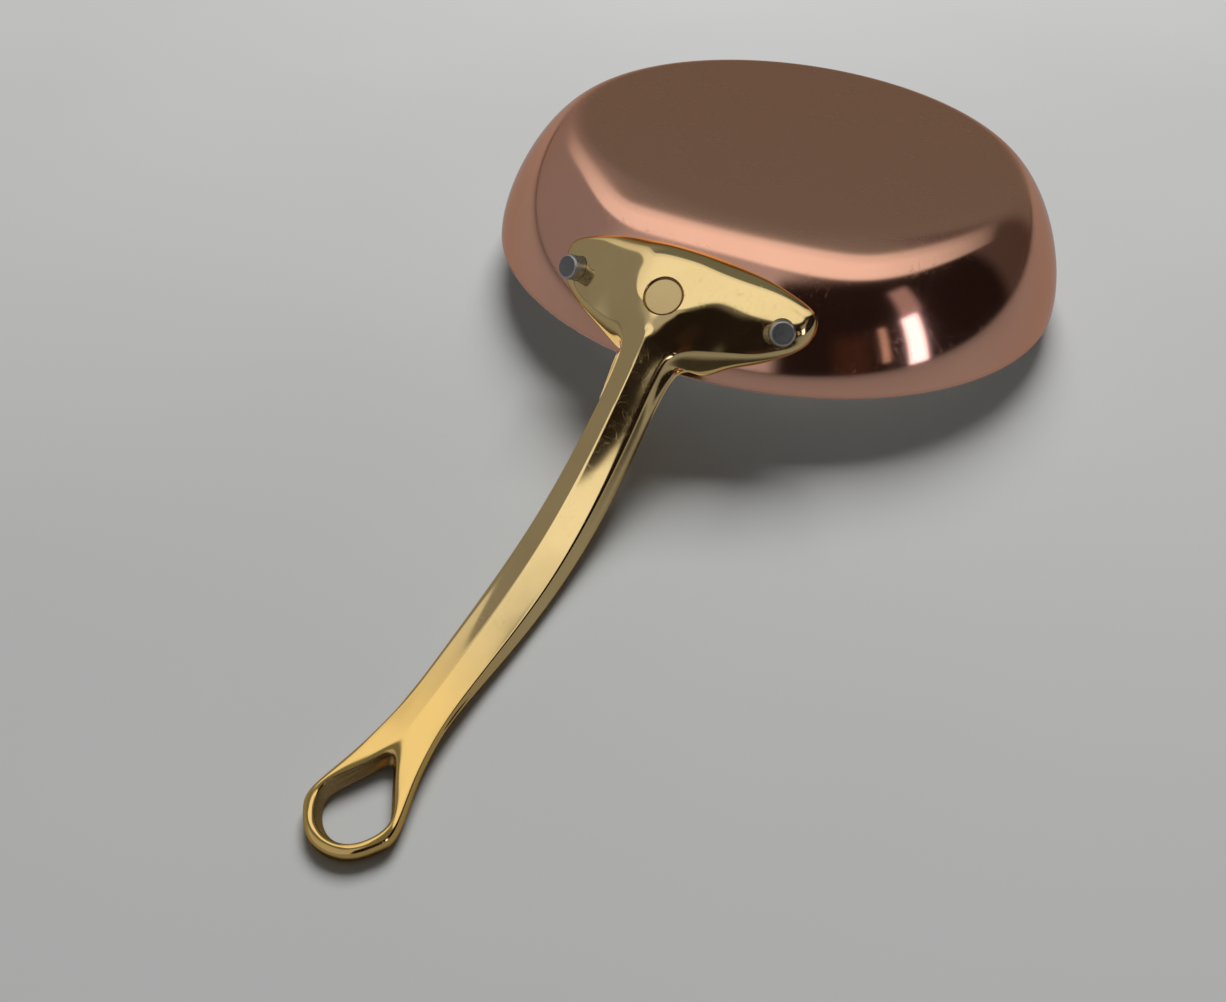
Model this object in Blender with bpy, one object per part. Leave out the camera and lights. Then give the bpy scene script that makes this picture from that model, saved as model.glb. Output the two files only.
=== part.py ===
"""Copper frying pan with a lining and a riveted cast handle.

Lengths are in metres and +Z is up. The pan stands on its flat base at z = 0, with the middle of
the base at the origin. The handle runs along +X, and the XZ plane is the plane of symmetry.
"""

import math
from typing import NamedTuple

import bmesh
import bpy
from mathutils import Matrix, Vector

MM = 0.001

# Clearance between pieces that touch on the real pan
SEAT_GAP = 0.3 * MM

# Points closer than this are one point, and edges that turn by more than this are sharp
MERGE_DISTANCE = 0.003 * MM
SHARP_ANGLE = math.radians(35)

# Pan body: the wall's outer line is one curve from the flat base to the rim
RIM_RADIUS = 100.0 * MM
PAN_HEIGHT = 42.7 * MM
BASE_RADIUS = 71.3 * MM
CURVE_LEVEL_REACH = 14.3 * MM
CURVE_UPRIGHT_REACH = 13.7 * MM
COPPER_THICKNESS = 1.8 * MM
LINING_THICKNESS = 0.5 * MM
WALL_STEPS = 10
TURN_STEPS = 64

# Rivets: a place on the wall is an arc round the pan and a climb up the wall from the base's edge
RIVET_ARC = 32.4 * MM
RIVET_CLIMB = 34.6 * MM
RIVET_RADIUS = 3.8 * MM
RIVET_STAND = 4.6 * MM
RIVET_CHAMFER = 0.6 * MM
RIVET_HEAD_OVERHANG = 2.7 * MM
RIVET_HEAD_EDGE = 0.8 * MM
RIVET_DOME_HEIGHT = 1.4 * MM
RIVET_DOME_STEPS = 4
RIVET_TURN_STEPS = 24

# Flange: its wings end in a blunt round about each rivet, and its foot bows down in the middle
WING_END_REACH = 6.7 * MM
WING_END_CORNER = 3.8 * MM
WING_HALF_HEIGHT = 11.0 * MM
WING_FACE_HALF_HEIGHT = 4.7 * MM
WING_FACE_INSET = 6.6 * MM
WING_THICKNESS = 6.0 * MM
WING_TOP_DROP = 2.2 * MM
FLANGE_EDGE_THICKNESS = 2.8 * MM
FLANGE_FOOT_CLIMB = 19.6 * MM
FLANGE_FOOT_BOW = 111.0 * MM
FLANGE_TOP_CLIMB = 49.0 * MM
FLANGE_SINK = 1.5 * MM

# Bulge in the flange's middle, which carries the disc and runs on into the neck
BULGE_HEIGHT = 13.2 * MM
BULGE_HALF_CLIMB = 8.0 * MM
BULGE_NEAR_ARC = 6.5 * MM
BULGE_FAR_ARC = 13.5 * MM
BULGE_NEAR_FALL = 0.8 * MM
BULGE_FAR_FALL = 4.2 * MM
BULGE_FOOT_FALL = 2.2 * MM

# Recessed disc on the bulge
DISC_CLIMB = 31.6 * MM
DISC_RADIUS = 6.0 * MM
DISC_DEPTH = 0.6 * MM
DISC_STEPS = 32

# Web from the wings to the neck
WEB_ALONG = 5.8 * MM
WEB_NEAR_HALF_WIDTH = 5.6 * MM
WEB_NEAR_RISE = 2.4 * MM
WEB_FAR_ARC = 12.5 * MM
WEB_FAR_DROP = 3.0 * MM
WEB_FAR_LIFT = 8.0 * MM
WEB_ROOT_CLIMB = 51.5 * MM

# Ridge under the handle, one curve in the plane of symmetry, which starts at the disc
RIDGE_LENGTH = 165.4 * MM
RIDGE_CLIMB = 61.2 * MM
RIDGE_START_SLOPE = math.radians(40.6)
RIDGE_END_SLOPE = math.radians(10.8)
RIDGE_START_REACH = 90.0 * MM
RIDGE_END_REACH = 87.3 * MM

# Loop at the handle's end, with its teardrop hole; the fork is where the hole starts
FORK_ALONG = 136.3 * MM
HOLE_LENGTH = 24.2 * MM
FORK_HALF_WIDTH = 8.9 * MM
FORK_HOLE_HALF_WIDTH = 4.4 * MM
FORK_HOLE_REACH = 6.5 * MM
FORK_SIDE_REACH = 4.5 * MM
HOLE_RADIUS = 8.8 * MM
LOOP_RADIUS = 11.8 * MM
LOOP_END_WALL = 3.4 * MM
LOOP_THICKNESS = 5.1 * MM
LOOP_FACE_RISE = 0.6 * MM

# How much the loop draws in from its face to its back: at the hole, the fork and the outer side
HOLE_DRAFT = 0.5 * MM
FORK_DRAFT = 1.6 * MM
LOOP_DRAFT = 1.0 * MM


class Section(NamedTuple):
    """A cut across the grip: facets rise from the ridge to an edge, and sides rise on from there."""

    along: float
    edge_half_width: float
    edge_rise: float
    side_half_width: float
    side_rise: float
    thickness: float


# Grip, from the neck to the fork
GRIP_SECTIONS = (
    Section(12.8 * MM, 6.7 * MM, 4.6 * MM, 8.5 * MM, 10.4 * MM, 14.4 * MM),
    Section(25.8 * MM, 6.4 * MM, 4.5 * MM, 8.2 * MM, 10.8 * MM, 14.2 * MM),
    Section(41.8 * MM, 6.6 * MM, 4.3 * MM, 8.4 * MM, 10.6 * MM, 13.6 * MM),
    Section(59.8 * MM, 6.8 * MM, 3.6 * MM, 8.5 * MM, 9.4 * MM, 12.2 * MM),
    Section(77.8 * MM, 6.8 * MM, 2.8 * MM, 8.3 * MM, 7.6 * MM, 10.3 * MM),
    Section(95.8 * MM, 6.4 * MM, 2.0 * MM, 7.7 * MM, 5.9 * MM, 8.3 * MM),
    Section(112.8 * MM, 5.9 * MM, 1.4 * MM, 6.8 * MM, 4.4 * MM, 6.6 * MM),
    Section(126.8 * MM, 6.1 * MM, 1.0 * MM, 6.7 * MM, 3.3 * MM, 5.5 * MM),
)
MIDDLE_SHARE = 0.55
CORNER_SHARE = 0.75

# Turns, in degrees from the handle's end, of the cage's corners round the loop
WIDEST_TURN = 90
LOOP_SIDE_TURN = 62
LOOP_END_TURNS = (0, 18, 38)
HOLE_TURNS = (0, 38)

# Grid of the handle's cage: rows run along the handle, columns from its middle to each side
FLANGE_ROWS = 4
WEB_ROW = FLANGE_ROWS - 1
WING_COLUMNS = 4
GRIP_COLUMNS = 2
HOLE_ROWS = 2
HOLE_COLUMNS = (-1, 0)
LOOP_ROWS = 3

# Smoothing of the handle's cage
SMOOTH_LEVELS = 2
SETTLE_ROUNDS = 6
RIDGE_CREASE = 0.45

# Steps in which a curve is walked along, and halvings with which a point on one is found
CURVE_STEPS = 240
HALVINGS = 40


def clear_scene():
    """Remove every object that the file already holds."""
    for item in list(bpy.data.objects):
        bpy.data.objects.remove(item, do_unlink=True)


def make_metal(name, colour, roughness):
    """Return a metal's material, of one colour."""
    material = bpy.data.materials.new(name)
    material.use_nodes = True
    shader = material.node_tree.nodes["Principled BSDF"]
    shader.inputs["Base Color"].default_value = (*colour, 1.0)
    shader.inputs["Roughness"].default_value = roughness
    shader.inputs["Metallic"].default_value = 1.0
    return material


def add_object(name, mesh, material=None):
    """Link a mesh to the scene as an object, with its material."""
    item = bpy.data.objects.new(name, mesh)
    bpy.context.scene.collection.objects.link(item)
    if material:
        mesh.materials.append(material)
    return item


def shade_round(mesh):
    """Shade a mesh smooth, with its sharp edges kept."""
    mesh.shade_smooth()
    mesh.set_sharp_from_angle(angle=SHARP_ANGLE)


def make_cutter(item):
    """Mark an object as a tool for Boolean cuts."""
    item.hide_render = True
    item.display_type = "WIRE"
    return item


def cut(item, cutter):
    """Cut a cutter's shape out of an object."""
    modifier = item.modifiers.new("cut_" + cutter.name, "BOOLEAN")
    modifier.operation = "DIFFERENCE"
    modifier.solver = "EXACT"
    modifier.object = cutter


def bezier(points, share):
    """Return the point and the direction of a four-point Bezier curve at a share of its run."""
    first, second, third, last = points
    rest = 1.0 - share
    place = rest**3 * first + 3 * rest**2 * share * second + 3 * rest * share**2 * third
    place = place + share**3 * last
    course = rest**2 * (second - first) + 2 * rest * share * (third - second)
    course = course + share**2 * (last - third)
    return place, course.normalized()


def wall_line(share):
    """Return the wall's outer point (radius, height) and its course at a share of the curve."""
    points = (
        Vector((BASE_RADIUS, 0.0)),
        Vector((BASE_RADIUS + CURVE_LEVEL_REACH, 0.0)),
        Vector((RIM_RADIUS, PAN_HEIGHT - CURVE_UPRIGHT_REACH)),
        Vector((RIM_RADIUS, PAN_HEIGHT)),
    )
    return bezier(points, share)


def outward(course):
    """Return the direction square to the wall's course, pointing out of the pan."""
    return Vector((course.y, -course.x))


def wall_profile(lift, steps):
    """Return the wall's line moved out by lift, from the base's edge to the rim."""
    line = []
    for step in range(steps + 1):
        place, course = wall_line(step / steps)
        line.append(place + lift * outward(course))
    return line


def wall_at_climb(climb):
    """Return the wall's outer point and course at a distance up the wall from the base's edge."""
    gone = 0.0
    here, course = wall_line(0.0)
    for step in range(1, CURVE_STEPS + 1):
        ahead, course = wall_line(step / CURVE_STEPS)
        stride = (ahead - here).length
        if gone + stride >= climb:
            return here.lerp(ahead, (climb - gone) / stride), course
        gone += stride
        here = ahead
    return here + (climb - gone) * course, course


def on_wall(arc, climb, lift):
    """Return the point at an arc round the pan and a climb up its wall, lifted off the wall."""
    place, course = wall_at_climb(climb)
    angle = arc / place.x
    lifted = place + lift * outward(course)
    return Vector((lifted.x * math.cos(angle), lifted.x * math.sin(angle), lifted.y))


def wall_normal(arc, climb):
    """Return the direction square to the wall at an arc and a climb."""
    return (on_wall(arc, climb, 1.0) - on_wall(arc, climb, 0.0)).normalized()


def wall_bow(climb, reach):
    """Return how far the wall bows over a reach to each side of a climb."""
    middle, _ = wall_at_climb(climb)
    below, _ = wall_at_climb(climb - reach)
    above, _ = wall_at_climb(climb + reach)
    bow_up = ((below + above) / 2 - middle).length
    bow_round = middle.x - math.sqrt(middle.x**2 - reach**2)
    return max(bow_up, bow_round)


def turned_mesh(name, line, steps):
    """Return the closed mesh that a line of (radius, height) points turns round +Z."""
    shape = bmesh.new()
    corners = [shape.verts.new((point[0], 0.0, point[1])) for point in line]
    for first, second in zip(corners, corners[1:]):
        shape.edges.new((first, second))
    bmesh.ops.spin(
        shape,
        geom=shape.verts[:] + shape.edges[:],
        cent=(0.0, 0.0, 0.0),
        axis=(0.0, 0.0, 1.0),
        angle=math.tau,
        steps=steps,
    )
    bmesh.ops.remove_doubles(shape, verts=shape.verts, dist=MERGE_DISTANCE)
    bmesh.ops.recalc_face_normals(shape, faces=shape.faces)
    mesh = bpy.data.meshes.new(name)
    shape.to_mesh(mesh)
    shape.free()
    shade_round(mesh)
    return mesh


def bowl_line(outer_lift, inner_lift):
    """Return the outline of a bowl-shaped layer between two offsets from the wall's line."""
    outer = wall_profile(outer_lift, WALL_STEPS)
    inner = wall_profile(inner_lift, WALL_STEPS)
    centre_outer = Vector((0.0, -outer_lift))
    centre_inner = Vector((0.0, -inner_lift))
    return [centre_outer, *outer, *reversed(inner), centre_inner]


def make_shell(material):
    """Return the copper body."""
    line = bowl_line(0.0, -COPPER_THICKNESS)
    return add_object("copper_shell", turned_mesh("copper_shell", line, TURN_STEPS), material)


def make_lining(material):
    """Return the lining that covers the inside of the copper body."""
    outer_lift = -COPPER_THICKNESS - SEAT_GAP
    line = bowl_line(outer_lift, outer_lift - LINING_THICKNESS)
    return add_object("lining", turned_mesh("lining", line, TURN_STEPS), material)


def make_wall_cutter():
    """Return the solid that trims the handle to the wall, the seat gap clear of the copper."""
    profile = wall_profile(SEAT_GAP, WALL_STEPS)
    top = PAN_HEIGHT + BULGE_HEIGHT
    line = [Vector((0.0, -SEAT_GAP)), *profile, Vector((profile[-1].x, top)), Vector((0.0, top))]
    return make_cutter(add_object("wall_cutter", turned_mesh("wall_cutter", line, TURN_STEPS)))


def rivet_frame(side):
    """Return the place and turn of a rivet: its origin on the wall, its +Z square to it."""
    normal = wall_normal(side * RIVET_ARC, RIVET_CLIMB)
    turn = normal.to_track_quat("Z", "Y").to_matrix().to_4x4()
    return Matrix.Translation(on_wall(side * RIVET_ARC, RIVET_CLIMB, 0.0)) @ turn


def make_bore_cutter(name, side):
    """Return the cutter of one rivet's hole."""
    radius = RIVET_RADIUS + SEAT_GAP
    reach = WING_THICKNESS + RIVET_STAND
    line = [(0.0, -reach), (radius, -reach), (radius, reach), (0.0, reach)]
    cutter = add_object(name, turned_mesh(name, line, RIVET_TURN_STEPS))
    cutter.matrix_world = rivet_frame(side)
    return make_cutter(cutter)


def make_rivet(name, side, material):
    """Return one solid rivet, with its domed head inside the pan and its shank out through."""
    lining_face = -(COPPER_THICKNESS + SEAT_GAP + LINING_THICKNESS)
    head_radius = RIVET_RADIUS + RIVET_HEAD_OVERHANG
    head_seat = lining_face - SEAT_GAP - wall_bow(RIVET_CLIMB, head_radius)
    shank_end = WING_THICKNESS + RIVET_STAND
    line = []
    for step in range(RIVET_DOME_STEPS + 1):
        angle = math.pi / 2 * step / RIVET_DOME_STEPS
        drop = RIVET_HEAD_EDGE + RIVET_DOME_HEIGHT * math.cos(angle)
        line.append((head_radius * math.sin(angle), head_seat - drop))
    line += [
        (head_radius, head_seat),
        (RIVET_RADIUS, head_seat),
        (RIVET_RADIUS, shank_end - RIVET_CHAMFER),
        (RIVET_RADIUS - RIVET_CHAMFER, shank_end),
        (0.0, shank_end),
    ]
    rivet = add_object(name, turned_mesh(name, line, RIVET_TURN_STEPS), material)
    rivet.matrix_world = rivet_frame(side)
    return rivet


def ridge_at(along):
    """Return the ridge's point (x, z) a level distance on from the disc, and its course there."""
    disc = on_wall(0.0, DISC_CLIMB, BULGE_HEIGHT)
    first = Vector((disc.x, disc.z))
    last = first + Vector((RIDGE_LENGTH, RIDGE_CLIMB))
    start_course = Vector((math.cos(RIDGE_START_SLOPE), math.sin(RIDGE_START_SLOPE)))
    end_course = Vector((math.cos(RIDGE_END_SLOPE), math.sin(RIDGE_END_SLOPE)))
    points = (
        first,
        first + RIDGE_START_REACH * start_course,
        last - RIDGE_END_REACH * end_course,
        last,
    )
    low, high = 0.0, 1.0
    for _ in range(HALVINGS):
        middle = (low + high) / 2
        place, _ = bezier(points, middle)
        if place.x - first.x < along:
            low = middle
        else:
            high = middle
    return bezier(points, (low + high) / 2)


def off_ridge(along, across, rise):
    """Return the point beside the ridge, a distance along it, and a rise square to it to the back."""
    place, course = ridge_at(along)
    return Vector((place.x - rise * course.y, across, place.y + rise * course.x))


def flange_points():
    """Return the flange's cage targets, as {(row, column, side): point}, from foot to web."""
    wing_root = RIVET_ARC - WING_FACE_INSET
    tip = RIVET_ARC + WING_END_REACH
    corner_tip = tip - WING_END_CORNER
    corner_climb = WING_HALF_HEIGHT - WING_END_CORNER * CORNER_SHARE
    edge = FLANGE_EDGE_THICKNESS
    bulge = ((0.0, 0.0), (BULGE_NEAR_ARC, BULGE_NEAR_FALL), (BULGE_FAR_ARC, BULGE_FAR_FALL))
    arcs = (*(arc for arc, _ in bulge), wing_root)
    foot = [(arc, FLANGE_FOOT_CLIMB + arc**2 / (2 * FLANGE_FOOT_BOW), edge) for arc in arcs]
    foot.append((corner_tip, RIVET_CLIMB - corner_climb, edge))
    lower_lift = BULGE_HEIGHT - BULGE_FOOT_FALL
    lower = [(arc, DISC_CLIMB - BULGE_HALF_CLIMB, lower_lift - fall) for arc, fall in bulge]
    lower.append((wing_root, RIVET_CLIMB - WING_FACE_HALF_HEIGHT, WING_THICKNESS))
    lower.append((tip, RIVET_CLIMB - WING_FACE_HALF_HEIGHT, edge))
    upper = [(arc, DISC_CLIMB, BULGE_HEIGHT - fall) for arc, fall in bulge]
    upper.append((wing_root, RIVET_CLIMB + WING_FACE_HALF_HEIGHT, WING_THICKNESS))
    upper.append((tip, RIVET_CLIMB + WING_FACE_HALF_HEIGHT, edge))
    top = [
        (WEB_FAR_ARC, FLANGE_TOP_CLIMB - WEB_FAR_DROP, WEB_FAR_LIFT),
        (wing_root, FLANGE_TOP_CLIMB - WING_TOP_DROP, edge),
        (corner_tip, RIVET_CLIMB + corner_climb, edge),
    ]
    targets = {}
    for row, (first_column, places) in enumerate(((0, foot), (0, lower), (0, upper), (2, top))):
        for column, (arc, climb, lift) in enumerate(places, start=first_column):
            targets[row, column, "under"] = on_wall(arc, climb, lift)
            targets[row, column, "back"] = on_wall(arc, climb, -FLANGE_SINK)
    targets[WEB_ROW, 0, "under"] = off_ridge(WEB_ALONG, 0.0, 0.0)
    targets[WEB_ROW, 1, "under"] = off_ridge(WEB_ALONG, WEB_NEAR_HALF_WIDTH, WEB_NEAR_RISE)
    for column, arc in enumerate((0.0, WEB_NEAR_HALF_WIDTH, WEB_FAR_ARC)):
        targets[WEB_ROW, column, "back"] = on_wall(arc, WEB_ROOT_CLIMB, -FLANGE_SINK)
    return targets


def grip_points(first_row):
    """Return the grip's cage targets, a row for each section."""
    targets = {}
    for row, cut_across in enumerate(GRIP_SECTIONS, start=first_row):
        edge = (cut_across.edge_half_width, cut_across.edge_rise)
        side = (cut_across.side_half_width, cut_across.side_rise)
        under = ((0.0, 0.0), (edge[0] * MIDDLE_SHARE, edge[1] * MIDDLE_SHARE), edge)
        back = ((0.0, cut_across.thickness), (side[0] * MIDDLE_SHARE, cut_across.thickness), side)
        for column, (lower, upper) in enumerate(zip(under, back)):
            targets[row, column, "under"] = off_ridge(cut_across.along, *lower)
            targets[row, column, "back"] = off_ridge(cut_across.along, *upper)
    return targets


def round_end(centre, radius, turn):
    """Return (along, across) on a half round about the ridge, turned away from its end."""
    angle = math.radians(turn)
    return centre + radius * math.cos(angle), radius * math.sin(angle)


def loop_outline(fork_draft, hole_draft, side_draft):
    """Return the loop's outline drawn in by its drafts: fork, wide part, hole's end and tip."""
    hole_centre = FORK_ALONG + HOLE_LENGTH - HOLE_RADIUS
    hole_radius = HOLE_RADIUS - hole_draft
    loop_centre = FORK_ALONG + HOLE_LENGTH + LOOP_END_WALL - LOOP_RADIUS
    loop_radius = LOOP_RADIUS - side_draft
    fork = (
        (FORK_ALONG + fork_draft, 0.0),
        (FORK_ALONG + FORK_HOLE_REACH, FORK_HOLE_HALF_WIDTH - hole_draft),
        (FORK_ALONG + FORK_SIDE_REACH, FORK_HALF_WIDTH - side_draft),
    )
    wide = (
        None,
        round_end(hole_centre, hole_radius, WIDEST_TURN),
        round_end(loop_centre, loop_radius, WIDEST_TURN),
    )
    hole_tail = [round_end(hole_centre, hole_radius, turn) for turn in HOLE_TURNS]
    hole_tail.append(round_end(loop_centre, loop_radius, LOOP_SIDE_TURN))
    tip = [round_end(loop_centre, loop_radius, turn) for turn in LOOP_END_TURNS]
    return fork, wide, hole_tail, tip


def loop_points(first_row):
    """Return the loop's cage targets, on its face and on its back."""
    faces = (
        ("under", LOOP_FACE_RISE, loop_outline(0.0, 0.0, 0.0)),
        ("back", LOOP_THICKNESS, loop_outline(FORK_DRAFT, HOLE_DRAFT, LOOP_DRAFT)),
    )
    targets = {}
    for side, rise, rows in faces:
        for row, places in enumerate(rows, start=first_row):
            for column, place in enumerate(places):
                if place:
                    targets[row, column, side] = off_ridge(*place, rise)
    return targets


def cage_targets():
    """Return every cage target of the handle, mirrored to both sides, and the fork's row."""
    fork_row = FLANGE_ROWS + len(GRIP_SECTIONS)
    half = {**flange_points(), **grip_points(FLANGE_ROWS), **loop_points(fork_row)}
    targets = {}
    for (row, column, side), point in half.items():
        targets[row, column, side] = point
        targets[row, -column, side] = Vector((point.x, -point.y, point.z))
    return targets, fork_row


def cage_cells(fork_row):
    """Return the cells (row, column) of the cage's grid that hold metal."""
    cells = set()
    for row in range(fork_row + LOOP_ROWS):
        widest = WING_COLUMNS if row < WEB_ROW else GRIP_COLUMNS
        for column in range(-widest, widest):
            in_hole = fork_row <= row < fork_row + HOLE_ROWS and column in HOLE_COLUMNS
            if not in_hole:
                cells.add((row, column))
    return cells


def cage_faces(cells):
    """Return the cage's faces as lists of target keys: both skins and the edges between."""
    faces = []
    for row, column in sorted(cells):
        ring = [(row, column), (row, column + 1), (row + 1, column + 1), (row + 1, column)]
        faces.append([(*corner, "under") for corner in ring])
        faces.append([(*corner, "back") for corner in reversed(ring)])
        beyond = ((row - 1, column), (row, column + 1), (row + 1, column), (row, column - 1))
        for neighbour, first, second in zip(beyond, ring, ring[1:] + ring[:1]):
            if neighbour not in cells:
                wall = [(*first, "under"), (*first, "back"), (*second, "back"), (*second, "under")]
                faces.append(wall)
    return faces


def crease_of(first, second, fork_row):
    """Return how sharp the smoothed handle stays along the cage's edge between two keys."""
    in_middle = first[1:] == second[1:] == (0, "under")
    if in_middle and WEB_ROW <= min(first[0], second[0]) < fork_row:
        return RIDGE_CREASE
    return 0.0


def smoothed_points(item):
    """Return where the smoothing puts each corner of an object's cage."""
    bpy.context.view_layer.update()
    smooth = item.evaluated_get(bpy.context.evaluated_depsgraph_get()).data
    return [smooth.vertices[index].co.copy() for index in range(len(item.data.vertices))]


def make_handle(material):
    """Return the cast handle: flange, neck, grip and loop in one smooth piece."""
    targets, fork_row = cage_targets()
    faces = cage_faces(cage_cells(fork_row))
    keys = sorted({key for face in faces for key in face})
    index = {key: place for place, key in enumerate(keys)}
    mesh = bpy.data.meshes.new("handle")
    corners = [[index[key] for key in face] for face in faces]
    mesh.from_pydata([targets[key] for key in keys], [], corners)
    creases = mesh.attributes.new("crease_edge", "FLOAT", "EDGE")
    for edge in mesh.edges:
        first, second = (keys[corner] for corner in edge.vertices)
        creases.data[edge.index].value = crease_of(first, second, fork_row)
    handle = add_object("handle", mesh, material)
    smoothing = handle.modifiers.new("smoothing", "SUBSURF")
    smoothing.levels = SMOOTH_LEVELS
    smoothing.render_levels = SMOOTH_LEVELS
    for _ in range(SETTLE_ROUNDS):
        for corner, reached in zip(mesh.vertices, smoothed_points(handle)):
            corner.co += targets[keys[corner.index]] - reached
    mesh.shade_smooth()
    return handle


def make_disc_cutter():
    """Return the cutter of the round recess on the flange's bulge."""
    line = [(0.0, 0.0), (DISC_RADIUS, 0.0), (DISC_RADIUS, BULGE_HEIGHT), (0.0, BULGE_HEIGHT)]
    cutter = add_object("disc_cutter", turned_mesh("disc_cutter", line, DISC_STEPS))
    turn = wall_normal(0.0, DISC_CLIMB).to_track_quat("Z", "Y").to_matrix().to_4x4()
    floor = on_wall(0.0, DISC_CLIMB, BULGE_HEIGHT - DISC_DEPTH)
    cutter.matrix_world = Matrix.Translation(floor) @ turn
    return make_cutter(cutter)


def main():
    """Build the pan."""
    clear_scene()
    copper = make_metal("copper", (0.84, 0.46, 0.33), 0.22)
    steel = make_metal("brushed_steel", (0.68, 0.68, 0.66), 0.3)
    brass = make_metal("brass", (0.83, 0.66, 0.34), 0.12)
    rivet_steel = make_metal("rivet_steel", (0.46, 0.46, 0.45), 0.4)
    shell = make_shell(copper)
    lining = make_lining(steel)
    handle = make_handle(brass)
    cut(handle, make_wall_cutter())
    cut(handle, make_disc_cutter())
    for word, side in (("left", 1), ("right", -1)):
        make_rivet("rivet_" + word, side, rivet_steel)
        bore = make_bore_cutter("bore_cutter_" + word, side)
        for pierced in (shell, lining, handle):
            cut(pierced, bore)


main()
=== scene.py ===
"""Copper frying pan, lying upside down on a pale table, dressed over its CAD model.

Lengths are in metres in the CAD model's frame: the pan's flat base is on z = 0, +Z is up to the
rim and the handle runs along +X. The main view looks up from below the base, because the pan in
the picture lies upside down.
"""

import logging
import math
from dataclasses import dataclass, field
from enum import Enum
from typing import Callable, NamedTuple

import bmesh
import bpy
from mathutils import Matrix, Vector


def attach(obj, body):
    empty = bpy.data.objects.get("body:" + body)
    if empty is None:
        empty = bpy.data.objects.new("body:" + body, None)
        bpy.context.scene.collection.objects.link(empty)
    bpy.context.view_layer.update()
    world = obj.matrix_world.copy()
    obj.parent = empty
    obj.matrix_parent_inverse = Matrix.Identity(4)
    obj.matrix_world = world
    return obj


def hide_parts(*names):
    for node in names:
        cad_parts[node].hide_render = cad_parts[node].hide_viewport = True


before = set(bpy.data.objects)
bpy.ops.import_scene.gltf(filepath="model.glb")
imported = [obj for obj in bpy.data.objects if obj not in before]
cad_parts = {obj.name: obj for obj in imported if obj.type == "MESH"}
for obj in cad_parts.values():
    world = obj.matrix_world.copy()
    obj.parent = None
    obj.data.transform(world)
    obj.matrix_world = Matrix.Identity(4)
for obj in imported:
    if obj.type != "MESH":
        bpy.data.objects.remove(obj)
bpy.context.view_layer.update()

LOG = logging.getLogger("pan")
BODY = "root"
MM = 0.001
MERGE_REACH = 0.002 * MM
SHARP_ANGLE = math.radians(35)
TURNED = "turned_place"  # attribute: a turned piece's place about its own axis
OUT, UP = Vector((1.0, 0.0)), Vector((0.0, 1.0))  # a profile's directions (radius, height)
TABLE_UP = Vector((0.1034, 0.0, -0.9946))  # square to the table, away from it


class Skin(Enum):
    """The skins of the handle's cage: towards the base, round its outline, and at its back."""

    UNDER = 0
    EDGE = 1
    BACK = 2


class Side(Enum):
    """The side of the handle that a rivet is on."""

    LEFT = 1
    RIGHT = -1


class Socket(Enum):
    """Socket types of node groups."""

    FLOAT = "NodeSocketFloat"
    INTEGER = "NodeSocketInt"
    VECTOR = "NodeSocketVector"
    MATERIAL = "NodeSocketMaterial"
    GEOMETRY = "NodeSocketGeometry"


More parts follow.
